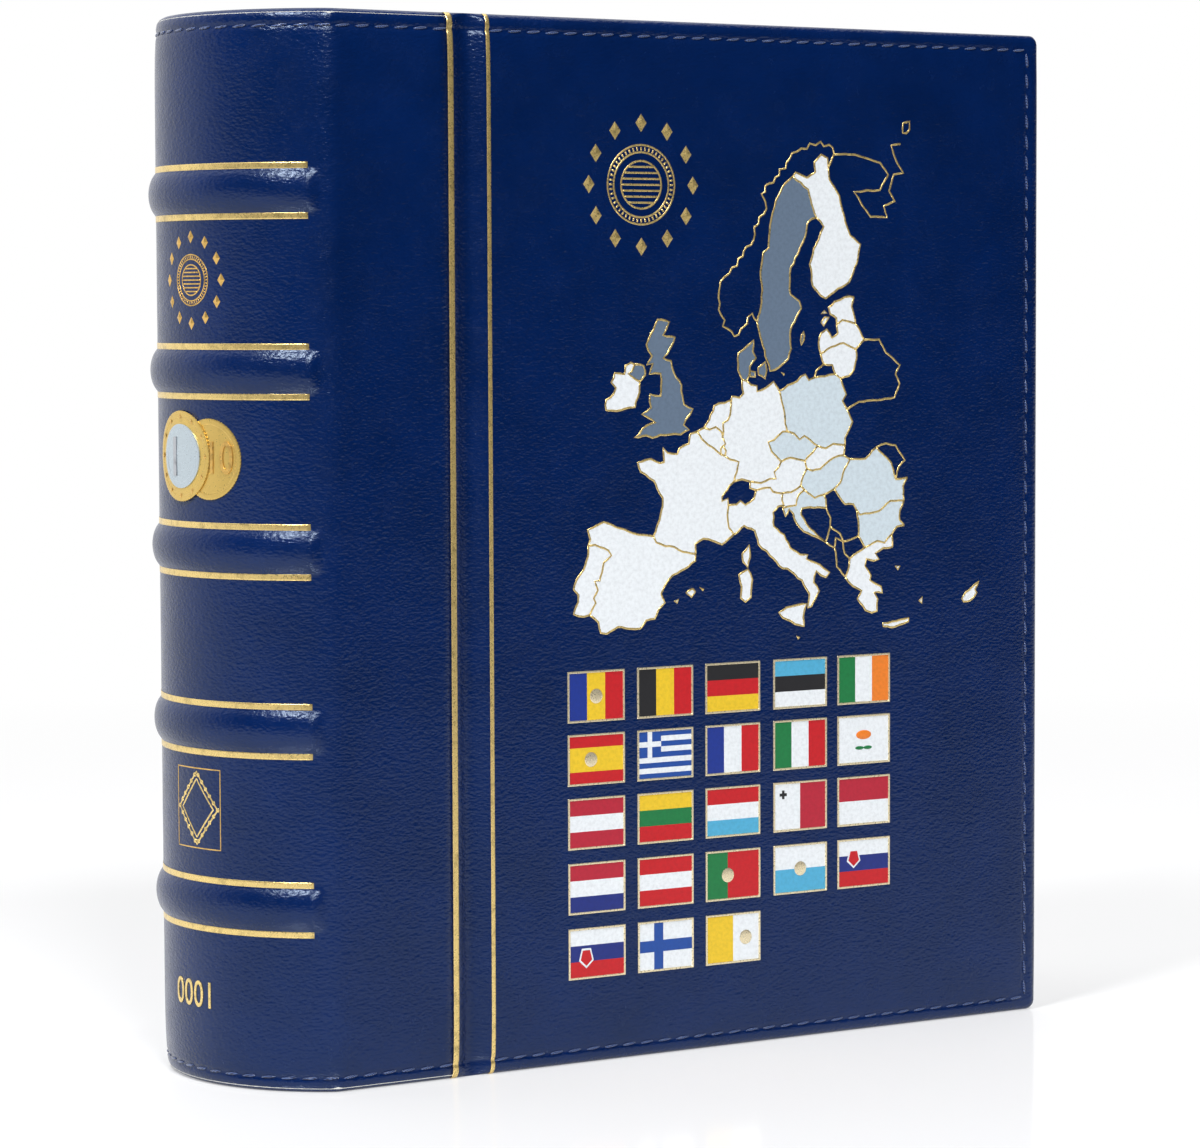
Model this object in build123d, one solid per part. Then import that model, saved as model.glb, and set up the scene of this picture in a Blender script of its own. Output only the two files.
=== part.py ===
from build123d import *
from build123d.topology import SkipClean

import math
import os

# Ring-bound coin album that stands upright on its lower edges.
#
# A padded case wraps the book: a rounded spine with five raised bands and a flat strip down each side,
# and two covers that hinge at the grooves beside the strips. A four-ring mechanism is riveted inside the
# spine. It carries eight coin sheets, each a tray of round wells with three sliding windows and a card.
#
# +X runs from the spine to the fore edge, -Y is the front cover's side and +Z is up.
# The origin is the centre of the album's box, on the surface that it stands on. Millimetres.

# --- case: overall sizes ---
case_height = 280.0
case_depth = 256.0  # raised bands to fore edge
case_thickness = 82.0  # outer face to outer face
spine_bulge = 25.0  # how far the rounded spine stands out from the strips' outer corners
strip_width = 35.8  # flat strip from the spine's corner to the groove
groove_width = 10.0

# --- case: layers, from the outside in ---
skin_thickness = 1.0
padding_thickness = 1.5
board_thickness = 2.5
lining_thickness = 0.5
edge_radius = 2.0  # rounding of the padded outer edges
corner_radius = 3.0  # fore-edge corners seen from the front
spine_corner_radius = 9.0
board_gap = 0.6  # bend allowance between the spine board and each strip board
web_thickness = 1.0
web_inset = 1.0  # the hinge webs stop this far above and below the edges

# --- raised bands ---
band_count = 5
band_pitch = 46.5
band_width = 12.0
band_rise = 2.0
band_half_angle = 56.0

# --- ring mechanism ---
ring_count = 4
ring_pitch = 70.0
ring_radius = 26.0  # wire centre line
wire_radius = 1.5
ring_tip_gap = 0.06
ring_root_y = 11.5
plate_length = 220.0  # arched part
ear_length = 8.0  # side walls run past the arch and hold the lever pins
plate_half_width = 14.0
plate_wall = 0.9
plate_side_height = 3.0
plate_height = 6.5
lip_depth = 2.0
lip_thickness = 0.5
batten_half_width = 16.0
batten_edge = 0.8  # thickness of the batten at its long edges
blade_thickness = 1.2
blade_lift = 1.3  # batten face to the blades' middle
blade_outer_y = 12.8
blade_inner_y = 0.25
blade_end_gap = 4.0
stub_radius = 0.8
notch_half_width = 2.6
rivet_spacing = 140.0
rivet_radius = 2.0
rivet_head_radius = 4.0
rivet_head_height = 1.4
rivet_clearance = 1.6
pin_radius = 1.0
pin_from_end = 4.0
pin_lift = 1.8
knuckle_radius = 1.7
pin_clearance = 0.06
lever_half_width = 8.0
lever_length = 20.0
lever_thickness = 1.4
lever_tip_radius = 5.0
lever_angle = 50.0
lever_side_clearance = 0.2

# --- coin sheets ---
sheet_count = 8
sheet_pitch = 4.2
sheet_width = 192.0
sheet_height = 252.0
sheet_corner = 3.0
slot_margin = 10.5  # sheet's spine edge to the middle of its ring slots
slot_length = 15.0
slot_width = 6.5
hang_gap = 0.3  # the slots' upper edges hang this close above the rings
front_lip = 0.3
channel_depth = 0.6
well_depth = 2.4
tray_floor = 0.3
card_thickness = 0.25
card_gap = 0.1
window_clearance = 0.1
window_end_clearance = 0.3
binding_margin = 20.0
fore_margin = 3.0
window_count = 3
channel_height = 76.0
aperture_height = 70.0
well_rows_per_window = 2
coin_diameters = [[25.75, 24.25, 23.25, 22.25], [21.25, 19.75, 18.75, 16.25]]
coin_clearance = 0.4

# --- places that follow from the sizes ---
wall = skin_thickness + padding_thickness + board_thickness + lining_thickness
half_thickness = case_thickness / 2
x_fore = case_depth / 2
x_bands = -case_depth / 2
x_spine = x_bands + band_rise
x_corner = x_spine + spine_bulge
x_strip_end = x_corner + strip_width
x_cover = x_strip_end + groove_width
y_hinge = half_thickness - wall / 2
spine_radius = (half_thickness**2 + spine_bulge**2) / (2 * spine_bulge)
x_arc = x_spine + spine_radius
z_middle = case_height / 2
lining_radius = spine_radius - wall
x_seat = x_arc - math.sqrt(lining_radius**2 - batten_half_width**2) + batten_edge
x_blade = x_seat + blade_lift
x_ring = x_blade + math.sqrt(ring_radius**2 - ring_root_y**2)
x_pin = x_seat + pin_lift
tray_thickness = front_lip + channel_depth + well_depth + tray_floor
sheet_thickness = tray_thickness + card_gap + card_thickness
sheet_drop = slot_width / 2 - wire_radius - hang_gap
z_sheet = z_middle - sheet_drop


def block(x0, x1, y0, y1, z0, z1):
    """A box between two corners."""
    size = (x1 - x0, y1 - y0, z1 - z0)
    return Pos((x0 + x1) / 2, (y0 + y1) / 2, (z0 + z1) / 2) * Box(*size)


def post(x, y, z0, z1, radius):
    """An upright cylinder."""
    return Pos(x, y, (z0 + z1) / 2) * Cylinder(radius, z1 - z0)


def upright(face, z0, z1):
    """A face drawn at z = 0, raised into a prism from z0 to z1."""
    return Pos(0, 0, z0) * extrude(face, z1 - z0, dir=(0, 0, 1))


def turned(face, angle, x, y):
    """A face revolved by angle degrees about the upright axis at x, y."""
    return revolve(face, Axis((x, y, 0), (0, 0, 1)), angle)


def export(name, *shapes):
    """Writes one sub-part as parts/NAME.step."""
    solids = [solid for shape in shapes for solid in shape.solids()]
    part = solids[0] if len(solids) == 1 else Compound(children=solids)
    part.label = name
    export_step(part, f"parts/{name}.step")


# --- the case ---


def wrap_line(depth, x_end):
    """The open outline of the case's wrap, depth mm in from its outer face, from front strip to back strip."""
    y = half_thickness - depth
    radius = spine_radius - depth
    x = x_arc - math.sqrt(radius**2 - y**2)
    return [
        Line((x_end, -y), (x, -y)),
        ThreePointArc((x, -y), (x_arc - radius, 0), (x, y)),
        Line((x, y), (x_end, y)),
    ]


def wrap_layer(outer, inner, x_end, z0, z1):
    """The part of the wrap between two depths."""
    front = Line((x_end, outer - half_thickness), (x_end, inner - half_thickness))
    back = Line((x_end, half_thickness - outer), (x_end, half_thickness - inner))
    outline = wrap_line(outer, x_end) + wrap_line(inner, x_end) + [front, back]
    return upright(make_face(outline), z0, z1)


def band(base_radius, half_angle):
    """One raised band's rounded strip, standing on a cylinder of base_radius round the spine's arc."""
    tip = Vector(x_arc + base_radius + band_rise, 0, 0)
    low = Vector(x_arc + base_radius, 0, -band_width / 2)
    high = Vector(x_arc + base_radius, 0, band_width / 2)
    face = make_face([ThreePointArc(low, tip, high), Line(high, low)])
    swept = turned(face, 2 * half_angle, x_arc, 0)
    about = Axis((x_arc, 0, 0), (0, 0, 1))
    return swept.rotate(about, 180 - half_angle)


def band_heights():
    first = z_middle - band_pitch * (band_count - 1) / 2
    return [first + band_pitch * i for i in range(band_count)]


def round_corners(wrap):
    """Rounds the wrap's two upright outer edges, where the spine's arc meets the strips."""
    places = [Vector(x_corner, side * half_thickness, z_middle) for side in (-1, 1)]
    edges = [wrap.edges().filter_by(Axis.Z).sort_by_distance(place)[0] for place in places]
    return fillet(edges, spine_corner_radius)


def skin_slab(z0, z1):
    """The spine's skin between two heights, with its turned edges at the strip's end and at top and bottom."""
    slab = round_corners(wrap_layer(0, wall, x_strip_end, z0, z1))
    low = max(z0, skin_thickness)
    high = min(z1, case_height - skin_thickness)
    return slab - wrap_layer(skin_thickness, wall + 1, x_strip_end - skin_thickness, low, high)


def make_spine_skin():
    """The skin is built in slabs, so that no face has the bands as islands in it."""
    core = band(spine_radius - skin_thickness, band_half_angle)
    covered_angle = band_half_angle + math.degrees(skin_thickness / spine_radius)
    covered = band(spine_radius, covered_angle)
    edge = 0
    slabs = []
    for z in band_heights():
        low, high = z - band_width / 2, z + band_width / 2
        slabs.append(skin_slab(edge, low))
        slabs.append(skin_slab(low, high) + Pos(0, 0, z) * covered - Pos(0, 0, z) * core)
        edge = high
    slabs.append(skin_slab(edge, case_height))
    with SkipClean():
        skin = slabs[0].fuse(*slabs[1:])
    export("spine_skin", skin)
    export("raised_bands", *[Pos(0, 0, z) * core for z in band_heights()])


def make_spine_layers():
    x_inner = x_strip_end - skin_thickness
    z0 = skin_thickness
    z1 = case_height - skin_thickness
    depth = skin_thickness + padding_thickness
    export("spine_padding", wrap_layer(skin_thickness, depth, x_inner, z0, z1))
    boards = wrap_layer(depth, depth + board_thickness, x_inner, z0, z1)
    x_split = x_corner + board_gap
    reach = half_thickness + 1
    export("spine_board", boards - block(x_corner, x_fore, -reach, reach, 0, case_height))
    strips = boards - block(x_bands, x_split, -reach, reach, 0, case_height)
    export("front_strip_board", strips - block(x_bands, x_fore, 0, reach, 0, case_height))
    export("back_strip_board", strips - block(x_bands, x_fore, -reach, 0, 0, case_height))
    lining = wrap_layer(wall - lining_thickness, wall, x_inner, z0, z1)
    for z in rivet_heights():
        lining -= Pos(x_seat, 0, z) * Rot(0, 90, 0) * Cylinder(rivet_radius, 2 * batten_half_width)
    export("spine_lining", lining)


def make_hinge_webs():
    """The thin strip of covering at the bottom of each groove, which bends as the cover opens."""
    for name, side in (("front_hinge_web", -1), ("back_hinge_web", 1)):
        y = side * y_hinge
        half = web_thickness / 2
        web = block(x_strip_end, x_cover, y - half, y + half, web_inset, case_height - web_inset)
        export(name, web)


def make_cover(name, side):
    """One cover: side is -1 for the front and 1 for the back."""

    def layer(outer, inner, inset):
        ys = sorted((side * (half_thickness - outer), side * (half_thickness - inner)))
        return block(x_cover + inset, x_fore - inset, *ys, inset, case_height - inset)

    shell = layer(0, wall, 0)
    fore_corners = shell.edges().filter_by(Axis.Y).group_by(Axis.X)[-1]
    shell = fillet(fore_corners, corner_radius)
    outer_face = shell.faces().sort_by(Axis.Y)[0 if side < 0 else -1]
    shell = fillet(outer_face.edges(), edge_radius)
    cavity = layer(skin_thickness, wall + 1, 2 * skin_thickness)
    inset = 2 * skin_thickness
    depth = skin_thickness + padding_thickness
    export(f"{name}_skin", shell - cavity)
    export(f"{name}_padding", layer(skin_thickness, depth, inset))
    export(f"{name}_board", layer(depth, depth + board_thickness, inset))
    export(f"{name}_lining", layer(wall - lining_thickness, wall, inset))


# --- the ring mechanism ---


def ring_heights():
    first = z_middle - ring_pitch * (ring_count - 1) / 2
    return [first + ring_pitch * i for i in range(ring_count)]


def rivet_heights():
    return [z_middle - rivet_spacing / 2, z_middle + rivet_spacing / 2]


plate_bottom = z_middle - plate_length / 2
plate_top = z_middle + plate_length / 2


def make_batten():
    """The strip that fills the hollow of the spine behind the mechanism, flat in front and round behind."""
    x = x_seat - batten_edge
    y = batten_half_width
    face = make_face(
        [
            ThreePointArc((x, -y), (x_arc - lining_radius, 0), (x, y)),
            Line((x, y), (x_seat, y)),
            Line((x_seat, y), (x_seat, -y)),
            Line((x_seat, -y), (x, -y)),
        ]
    )
    batten = upright(face, plate_bottom - ear_length, plate_top + ear_length)
    for z in rivet_heights():
        batten -= Pos(x_seat, 0, z) * Rot(0, 90, 0) * Cylinder(rivet_radius, 2 * batten_half_width)
    export("mounting_batten", batten)


def arch_face(inset):
    """The arched plate's outline, inset mm in from its outer face."""
    y = plate_half_width - inset
    x_side = x_seat + plate_side_height
    crown = x_seat + plate_height - inset
    return make_face(
        [
            Line((x_seat, -y), (x_side, -y)),
            ThreePointArc((x_side, -y), (crown, 0), (x_side, y)),
            Line((x_side, y), (x_seat, y)),
            Line((x_seat, y), (x_seat, -y)),
        ]
    )


def make_plate():
    plate = upright(arch_face(0) - arch_face(plate_wall), plate_bottom, plate_top)
    ear_bottom = plate_bottom - ear_length
    ear_top = plate_top + ear_length
    inner = plate_half_width - plate_wall
    for side in (-1, 1):
        ys = sorted((side * plate_half_width, side * inner))
        for z0, z1 in ((ear_bottom, plate_bottom), (plate_top, ear_top)):
            plate += block(x_seat, x_seat + plate_side_height, *ys, z0, z1)
        lip = sorted((side * inner, side * (inner - lip_depth)))
        plate += block(x_seat, x_seat + lip_thickness, *lip, plate_bottom, plate_top)
    notch_y = ring_root_y - 2 * wire_radius
    for z in ring_heights():
        for side in (-1, 1):
            ys = sorted((side * notch_y, side * (plate_half_width + 1)))
            z0, z1 = z - notch_half_width, z + notch_half_width
            plate -= block(x_seat - 1, x_seat + plate_height, *ys, z0, z1)
    for z in rivet_heights():
        plate -= Pos(x_seat, 0, z) * Rot(0, 90, 0) * Cylinder(rivet_radius, 4 * plate_height)
    for z in pin_heights():
        plate -= Pos(x_pin, 0, z) * Rot(90, 0, 0) * Cylinder(pin_radius, 3 * plate_half_width)
    export("mechanism_plate", plate)


def pin_heights():
    return [plate_bottom - ear_length + pin_from_end, plate_top + ear_length - pin_from_end]


def make_rivets():
    """Rivets from the plate's crown into the spine board, with a domed head outside the plate."""
    rivets = []
    x_crown = x_seat + plate_height
    x_foot = x_arc - math.sqrt((lining_radius + lining_thickness) ** 2 - rivet_radius**2)
    for z in rivet_heights():
        shank = Pos((x_crown + x_foot) / 2, 0, z) * Rot(0, 90, 0) * Cylinder(rivet_radius, x_crown - x_foot)
        head = Pos(x_crown + rivet_head_height / 2, 0, z) * Rot(0, 90, 0)
        head *= Cylinder(rivet_head_radius, rivet_head_height)
        rim = head.edges().filter_by(GeomType.CIRCLE).sort_by(Axis.X)[-1]
        rivets.append(shank + fillet(rim, rivet_head_height * 0.6))
    export("mechanism_rivets", *rivets)


def make_blade(name, side):
    """One of the two strips under the arch that carry the ring halves."""
    ys = sorted((side * blade_inner_y, side * blade_outer_y))
    z0 = plate_bottom + blade_end_gap
    z1 = plate_top - blade_end_gap
    half = blade_thickness / 2
    blade = block(x_blade - half, x_blade + half, *ys, z0, z1)
    for z in rivet_heights():
        radius = rivet_radius + rivet_clearance
        blade -= Pos(x_blade, 0, z) * Rot(0, 90, 0) * Cylinder(radius, 4 * blade_thickness)
    for z in ring_heights():
        hole = Pos(x_blade, side * ring_root_y, z) * Rot(0, 90, 0)
        blade -= hole * Cylinder(stub_radius, 4 * blade_thickness)
    export(name, blade)


def ring_half(side, z):
    """Half of a round ring, with the stub that holds it in its blade."""
    root = math.degrees(math.asin(ring_root_y / ring_radius))
    tip = math.degrees(ring_tip_gap / ring_radius)
    span = 180 - root + 5
    circle = Plane.XZ.offset(0) * Circle(wire_radius)
    section = Pos(x_ring + ring_radius, 0, 0) * circle
    wire = turned(section, span - tip, x_ring, 0)
    wire = wire.rotate(Axis((x_ring, 0, 0), (0, 0, 1)), tip if side > 0 else -span)
    x_top = x_blade + blade_thickness / 2
    reach = 2 * ring_radius
    wire -= block(x_top - reach, x_top, -reach, reach, -reach, reach)
    stub = Pos(x_blade, side * ring_root_y, 0) * Rot(0, 90, 0) * Cylinder(stub_radius, blade_thickness)
    return Pos(0, 0, z) * (wire + stub)


def make_lever(name, z, way):
    """An opening lever on its pin: way is 1 at the top and -1 at the bottom."""
    knuckle_half = plate_half_width - plate_wall - lever_side_clearance
    knuckle = Rot(90, 0, 0) * Cylinder(knuckle_radius, 2 * knuckle_half)
    tab = block(-lever_thickness / 2, lever_thickness / 2, -lever_half_width, lever_half_width, 0, lever_length)
    tip = tab.edges().filter_by(Axis.X).group_by(Axis.Z)[-1]
    tab = fillet(tip, lever_tip_radius)
    lean = Rot(0, lever_angle, 0) * tab
    if way < 0:
        lean = mirror(lean, Plane.XY)
    lever = knuckle + lean
    lever -= Rot(90, 0, 0) * Cylinder(pin_radius + pin_clearance, 3 * plate_half_width)
    export(name, Pos(x_pin, 0, z) * lever)


def make_mechanism():
    make_batten()
    make_plate()
    make_rivets()
    for name, side in (("front", -1), ("rear", 1)):
        make_blade(f"{name}_blade", side)
        for i, z in enumerate(ring_heights(), 1):
            export(f"{name}_ring_half_{i}", ring_half(side, z))
    low, high = pin_heights()
    make_lever("bottom_lever", low, -1)
    make_lever("top_lever", high, 1)
    pins = [Pos(x_pin, 0, z) * Rot(90, 0, 0) * Cylinder(pin_radius, 2 * plate_half_width) for z in (low, high)]
    export("lever_pins", *pins)


# --- the coin sheets ---


def sheet_middle(i):
    """Sheet i's middle across the stack, 0 being the front sheet."""
    return (i - (sheet_count - 1) / 2) * sheet_pitch


def slot_cutter(x, y0, y1):
    """The four oblong ring slots, at x."""
    half = slot_length / 2 - slot_width / 2
    cutters = []
    for ring_z in ring_heights():
        z = ring_z - sheet_drop
        cutters.append(block(x - half, x + half, y0, y1, z - slot_width / 2, z + slot_width / 2))
        for end in (-half, half):
            hole = Pos(x + end, (y0 + y1) / 2, z) * Rot(90, 0, 0)
            cutters.append(hole * Cylinder(slot_width / 2, y1 - y0))
    return cutters


def plate_with_slots(x_slot, y0, y1):
    x_left = x_slot - slot_margin
    z0 = z_sheet - sheet_height / 2
    sheet = block(x_left, x_left + sheet_width, y0, y1, z0, z0 + sheet_height)
    sheet = fillet(sheet.edges().filter_by(Axis.Y), sheet_corner)
    for cutter in slot_cutter(x_slot, y0 - 1, y1 + 1):
        sheet -= cutter
    return sheet


def window_heights():
    pitch = sheet_height / window_count
    first = z_sheet - pitch * (window_count - 1) / 2
    return [first + pitch * i for i in range(window_count)]


def well_cutters(x_left, x_right, y0):
    """The round wells behind the windows: two rows of four for each window, the larger coins above."""
    cutters = []
    row_pitch = sheet_height / (window_count * well_rows_per_window)
    columns = len(coin_diameters[0])
    column_pitch = (x_right - x_left) / columns
    for z in window_heights():
        for row, diameters in enumerate(coin_diameters):
            z_row = z + row_pitch * (0.5 - row)
            for column, diameter in enumerate(diameters):
                x = x_left + column_pitch * (column + 0.5)
                hole = Pos(x, y0 + well_depth / 2, z_row) * Rot(90, 0, 0)
                cutters.append(hole * Cylinder((diameter + coin_clearance) / 2, well_depth))
    return cutters


def make_sheet(i):
    y_mid = sheet_middle(i)
    y0 = y_mid - sheet_thickness / 2
    y1 = y0 + tray_thickness
    x_slot = x_ring + math.sqrt(ring_radius**2 - y_mid**2)
    x_left = x_slot - slot_margin
    x_right = x_left + sheet_width
    x_bind = x_left + binding_margin
    y_channel = y0 + front_lip
    y_well = y_channel + channel_depth
    tray = plate_with_slots(x_slot, y0, y1)
    windows = []
    for z in window_heights():
        low, high = z - channel_height / 2, z + channel_height / 2
        tray -= block(x_bind, x_right + 1, y_channel, y_well, low, high)
        half = aperture_height / 2
        tray -= block(x_bind + fore_margin, x_right - fore_margin, y0 - 1, y_channel, z - half, z + half)
        c = window_clearance
        windows.append(
            block(x_bind + window_end_clearance, x_right, y_channel + c, y_well - c, low + 2 * c, high - 2 * c)
        )
    for cutter in well_cutters(x_bind + fore_margin, x_right - fore_margin, y_well):
        tray -= cutter
    n = i + 1
    export(f"sheet_{n}_tray", tray)
    export(f"sheet_{n}_windows", *windows)
    y_card = y1 + card_gap
    export(f"sheet_{n}_card", plate_with_slots(x_slot, y_card, y_card + card_thickness))


os.makedirs("parts", exist_ok=True)
make_spine_skin()
make_spine_layers()
make_hinge_webs()
make_cover("front", -1)
make_cover("back", 1)
make_mechanism()
for number in range(sheet_count):
    make_sheet(number)
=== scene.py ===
"""Looks of a padded coin album: its covering, stitching, foil, print, endpapers and fittings.

Metres, in the same frame as the model: +X from the spine to the fore edge, -Y is the front, +Z is up.
"""

import math
import random

import bmesh
import bpy
from mathutils import Matrix, Vector


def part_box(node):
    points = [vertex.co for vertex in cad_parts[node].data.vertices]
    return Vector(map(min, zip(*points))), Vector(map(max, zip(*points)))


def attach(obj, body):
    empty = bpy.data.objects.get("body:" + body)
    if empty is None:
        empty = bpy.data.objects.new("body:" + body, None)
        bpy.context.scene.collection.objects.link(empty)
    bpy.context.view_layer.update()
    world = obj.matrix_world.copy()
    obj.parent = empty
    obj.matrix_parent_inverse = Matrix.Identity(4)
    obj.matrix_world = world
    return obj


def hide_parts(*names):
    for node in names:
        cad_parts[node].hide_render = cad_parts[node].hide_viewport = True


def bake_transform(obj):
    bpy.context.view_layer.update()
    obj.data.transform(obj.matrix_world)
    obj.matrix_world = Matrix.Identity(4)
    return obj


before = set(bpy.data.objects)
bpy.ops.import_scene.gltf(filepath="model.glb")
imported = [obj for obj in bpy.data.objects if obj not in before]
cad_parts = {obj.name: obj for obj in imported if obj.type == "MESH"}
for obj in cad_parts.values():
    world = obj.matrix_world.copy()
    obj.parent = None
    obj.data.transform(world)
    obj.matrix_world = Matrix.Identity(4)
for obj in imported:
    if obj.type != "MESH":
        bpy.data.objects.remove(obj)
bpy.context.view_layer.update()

MM = 0.001
UP = Vector((0, 0, 1))

# --- places read from the frame ---
cover_low, cover_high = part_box("front_skin")
spine_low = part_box("spine_padding")[0]
HEIGHT = cover_high.z
FACE = -cover_low.y  # outer faces lie at -FACE and +FACE
WALL = cover_high.y - cover_low.y
FORE_X = cover_high.x
COVER_X = cover_low.x
STRIP_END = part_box("front_hinge_web")[0].x
SKIN = spine_low.z  # the spine's padding starts one skin above the base
SPINE_X = spine_low.x - SKIN
CORNER_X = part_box("spine_board")[1].x

# --- the covering ---
RIM = WALL / 2  # the turned edges are half round
SPINE_BULGE = CORNER_X - SPINE_X
SPINE_R = (FACE**2 + SPINE_BULGE**2) / (2 * SPINE_BULGE)
ARC_X = SPINE_X + SPINE_R
CORNER_R = 9 * MM
SEAM_X = STRIP_END - 0.6 * MM  # the spine's and the covers' coverings meet under the first gold line
GROOVE_MID = (STRIP_END + COVER_X) / 2
GROOVE_HALF = 4.9 * MM
GROOVE_DEPTH = 1.9 * MM
WEB_THICKNESS = 1.3 * MM
HEM = {"top": 4.4 * MM, "bottom": 3.9 * MM, "fore": 4.8 * MM}  # edge to stitching
HEM_DROP = 0.5 * MM  # the hem lies this much lower than the padded face
PAD_RISE = 5 * MM  # distance over which the padding fades at the stitching
CHANNEL = 0.28 * MM  # pull-in along the stitching
CHANNEL_WIDTH = 0.75 * MM
LEATHER = 0.9 * MM

# --- raised bands and their gold lines ---
BAND_Z = [HEIGHT / 2 + 0.7 * MM + 46.4 * MM * i for i in range(-2, 3)]
BAND_HALF = 5.5 * MM
BAND_RISE = 1.95 * MM
BAND_END = 43.8 * MM  # distance round the spine from its middle to where a band starts to fade
BAND_FADE = 4.4 * MM
BAND_LINE_OFFSET = 6.4 * MM
BAND_LINE_WIDTH = 1.75 * MM
BAND_LINE_END = 44.4 * MM


# =====================================================================================================
# materials
# =====================================================================================================


def new_material(name):
    """A material with one Principled shader, and the two handles that its maker needs."""
    material = bpy.data.materials.new(name)
    material.use_nodes = True
    return material, material.node_tree.nodes["Principled BSDF"]


def add(material, kind, inputs=None, **settings):
    """Adds a node. inputs sets its sockets: a node's output links, anything else is a value."""
    node = material.node_tree.nodes.new(kind)
    for key, value in settings.items():
        setattr(node, key, value)
    for key, value in (inputs or {}).items():
        if isinstance(value, bpy.types.NodeSocket):
            material.node_tree.links.new(value, node.inputs[key])
        else:
            node.inputs[key].default_value = value
    return node


def link(material, output, socket):
    material.node_tree.links.new(output, socket)


def object_place(material):
    return add(material, "ShaderNodeTexCoord").outputs["Object"]


def noise(material, place, scale, detail, roughness):
    inputs = {"Vector": place, "Scale": scale, "Detail": detail, "Roughness": roughness}
    return add(material, "ShaderNodeTexNoise", inputs)


def ramp(material, factor, stops):
    """A colour ramp. stops are (position, colour or grey)."""
    node = add(material, "ShaderNodeValToRGB", {"Fac": factor})
    elements = node.color_ramp.elements
    while len(elements) < len(stops):
        elements.new(0.5)
    for element, (position, colour) in zip(elements, stops):
        element.position = position
        element.color = (*colour, 1) if isinstance(colour, tuple) else (colour, colour, colour, 1)
    return node.outputs["Color"]


def bump(material, height, strength, distance, normal=None):
    inputs = {"Height": height, "Strength": strength, "Distance": distance}
    if normal is not None:
        inputs["Normal"] = normal
    return add(material, "ShaderNodeBump", inputs).outputs["Normal"]


def leatherette(name, dark, light, roughness, grain=1.0):
    """Coated leatherette: a fine pebble grain with creases between the pebbles, over a soft padded wave."""
    material, shader = new_material(name)
    place = object_place(material)
    flatter = {"Vector": place, "Scale": (0.78, 0.78, 1.35)}
    stretched = add(material, "ShaderNodeMapping", flatter).outputs["Vector"]
    pebbles = add(
        material,
        "ShaderNodeTexVoronoi",
        {"Vector": stretched, "Scale": 1150.0, "Randomness": 0.95},
        feature="SMOOTH_F1",
    )
    creases = noise(material, stretched, 800.0, 4.0, 0.62)
    wave = noise(material, place, 26.0, 1.0, 0.4)
    mottle = noise(material, place, 45.0, 5.0, 0.6)
    tone = ramp(material, mottle.outputs["Fac"], [(0.3, dark), (0.72, light)])
    link(material, tone, shader.inputs["Base Color"])
    gloss = noise(material, place, 160.0, 4.0, 0.6)
    level = add(
        material,
        "ShaderNodeMapRange",
        {
            "Value": gloss.outputs["Fac"],
            "From Min": 0.3,
            "From Max": 0.7,
            "To Min": roughness[0],
            "To Max": roughness[1],
        },
    )
    link(material, level.outputs["Result"], shader.inputs["Roughness"])
    padded = bump(material, wave.outputs["Fac"], 0.35, 1.2 * MM)
    creased = bump(material, creases.outputs["Fac"], 0.6 * grain, 0.22 * MM, padded)
    pebbled = bump(material, pebbles.outputs["Distance"], 0.6 * grain, 0.17 * MM, creased)
    link(material, pebbled, shader.inputs["Normal"])
    shader.inputs["Specular IOR Level"].default_value = 0.5
    shader.inputs["Specular Tint"].default_value = (0.68, 0.82, 1.0, 1)
    return material


def foil(name, colour, roughness, wear=0.0, depth=0.6):
    """Hot-stamped metal foil, slightly uneven where it went down on the grain."""
    material, shader = new_material(name)
    place = object_place(material)
    blotch = noise(material, place, 420.0, 4.0, 0.65)
    darker = tuple(c * depth for c in colour)
    tone = ramp(material, blotch.outputs["Fac"], [(0.28 + wear, darker), (0.5 + wear, colour)])
    link(material, tone, shader.inputs["Base Color"])
    shader.inputs["Metallic"].default_value = 0.72
    fine = noise(material, place, 1500.0, 3.0, 0.5)
    level = add(
        material,
        "ShaderNodeMapRange",
        {"Value": fine.outputs["Fac"], "To Min": roughness * 0.6, "To Max": roughness * 1.5},
    )
    link(material, level.outputs["Result"], shader.inputs["Roughness"])
    link(material, bump(material, fine.outputs["Fac"], 0.3, 0.05 * MM), shader.inputs["Normal"])
    return material


def ink(name, colour):
    """Satin screen print, a little broken by the grain below it."""
    material, shader = new_material(name)
    place = object_place(material)
    film = noise(material, place, 900.0, 3.0, 0.6)
    darker = tuple(c * 0.86 for c in colour)
    tone = ramp(material, film.outputs["Fac"], [(0.3, darker), (0.6, colour)])
    link(material, tone, shader.inputs["Base Color"])
    shader.inputs["Roughness"].default_value = 0.42
    link(material, bump(material, film.outputs["Fac"], 0.35, 0.06 * MM), shader.inputs["Normal"])
    return material


def thread_material():
    """Navy polyester thread: two plies twisted together, with a silky shine."""
    material, shader = new_material("stitching_thread")
    place = object_place(material)
    plies = add(
        material,
        "ShaderNodeTexWave",
        {"Vector": place, "Scale": 900.0, "Distortion": 1.5},
        wave_type="BANDS",
        bands_direction="DIAGONAL",
    )
    tone = ramp(material, plies.outputs["Fac"], [(0.2, (0.006, 0.014, 0.06)), (0.8, (0.07, 0.12, 0.30))])
    link(material, tone, shader.inputs["Base Color"])
    shader.inputs["Roughness"].default_value = 0.24
    shader.inputs["Sheen Weight"].default_value = 0.3
    link(material, bump(material, plies.outputs["Fac"], 0.6, 0.1 * MM), shader.inputs["Normal"])
    return material


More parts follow.
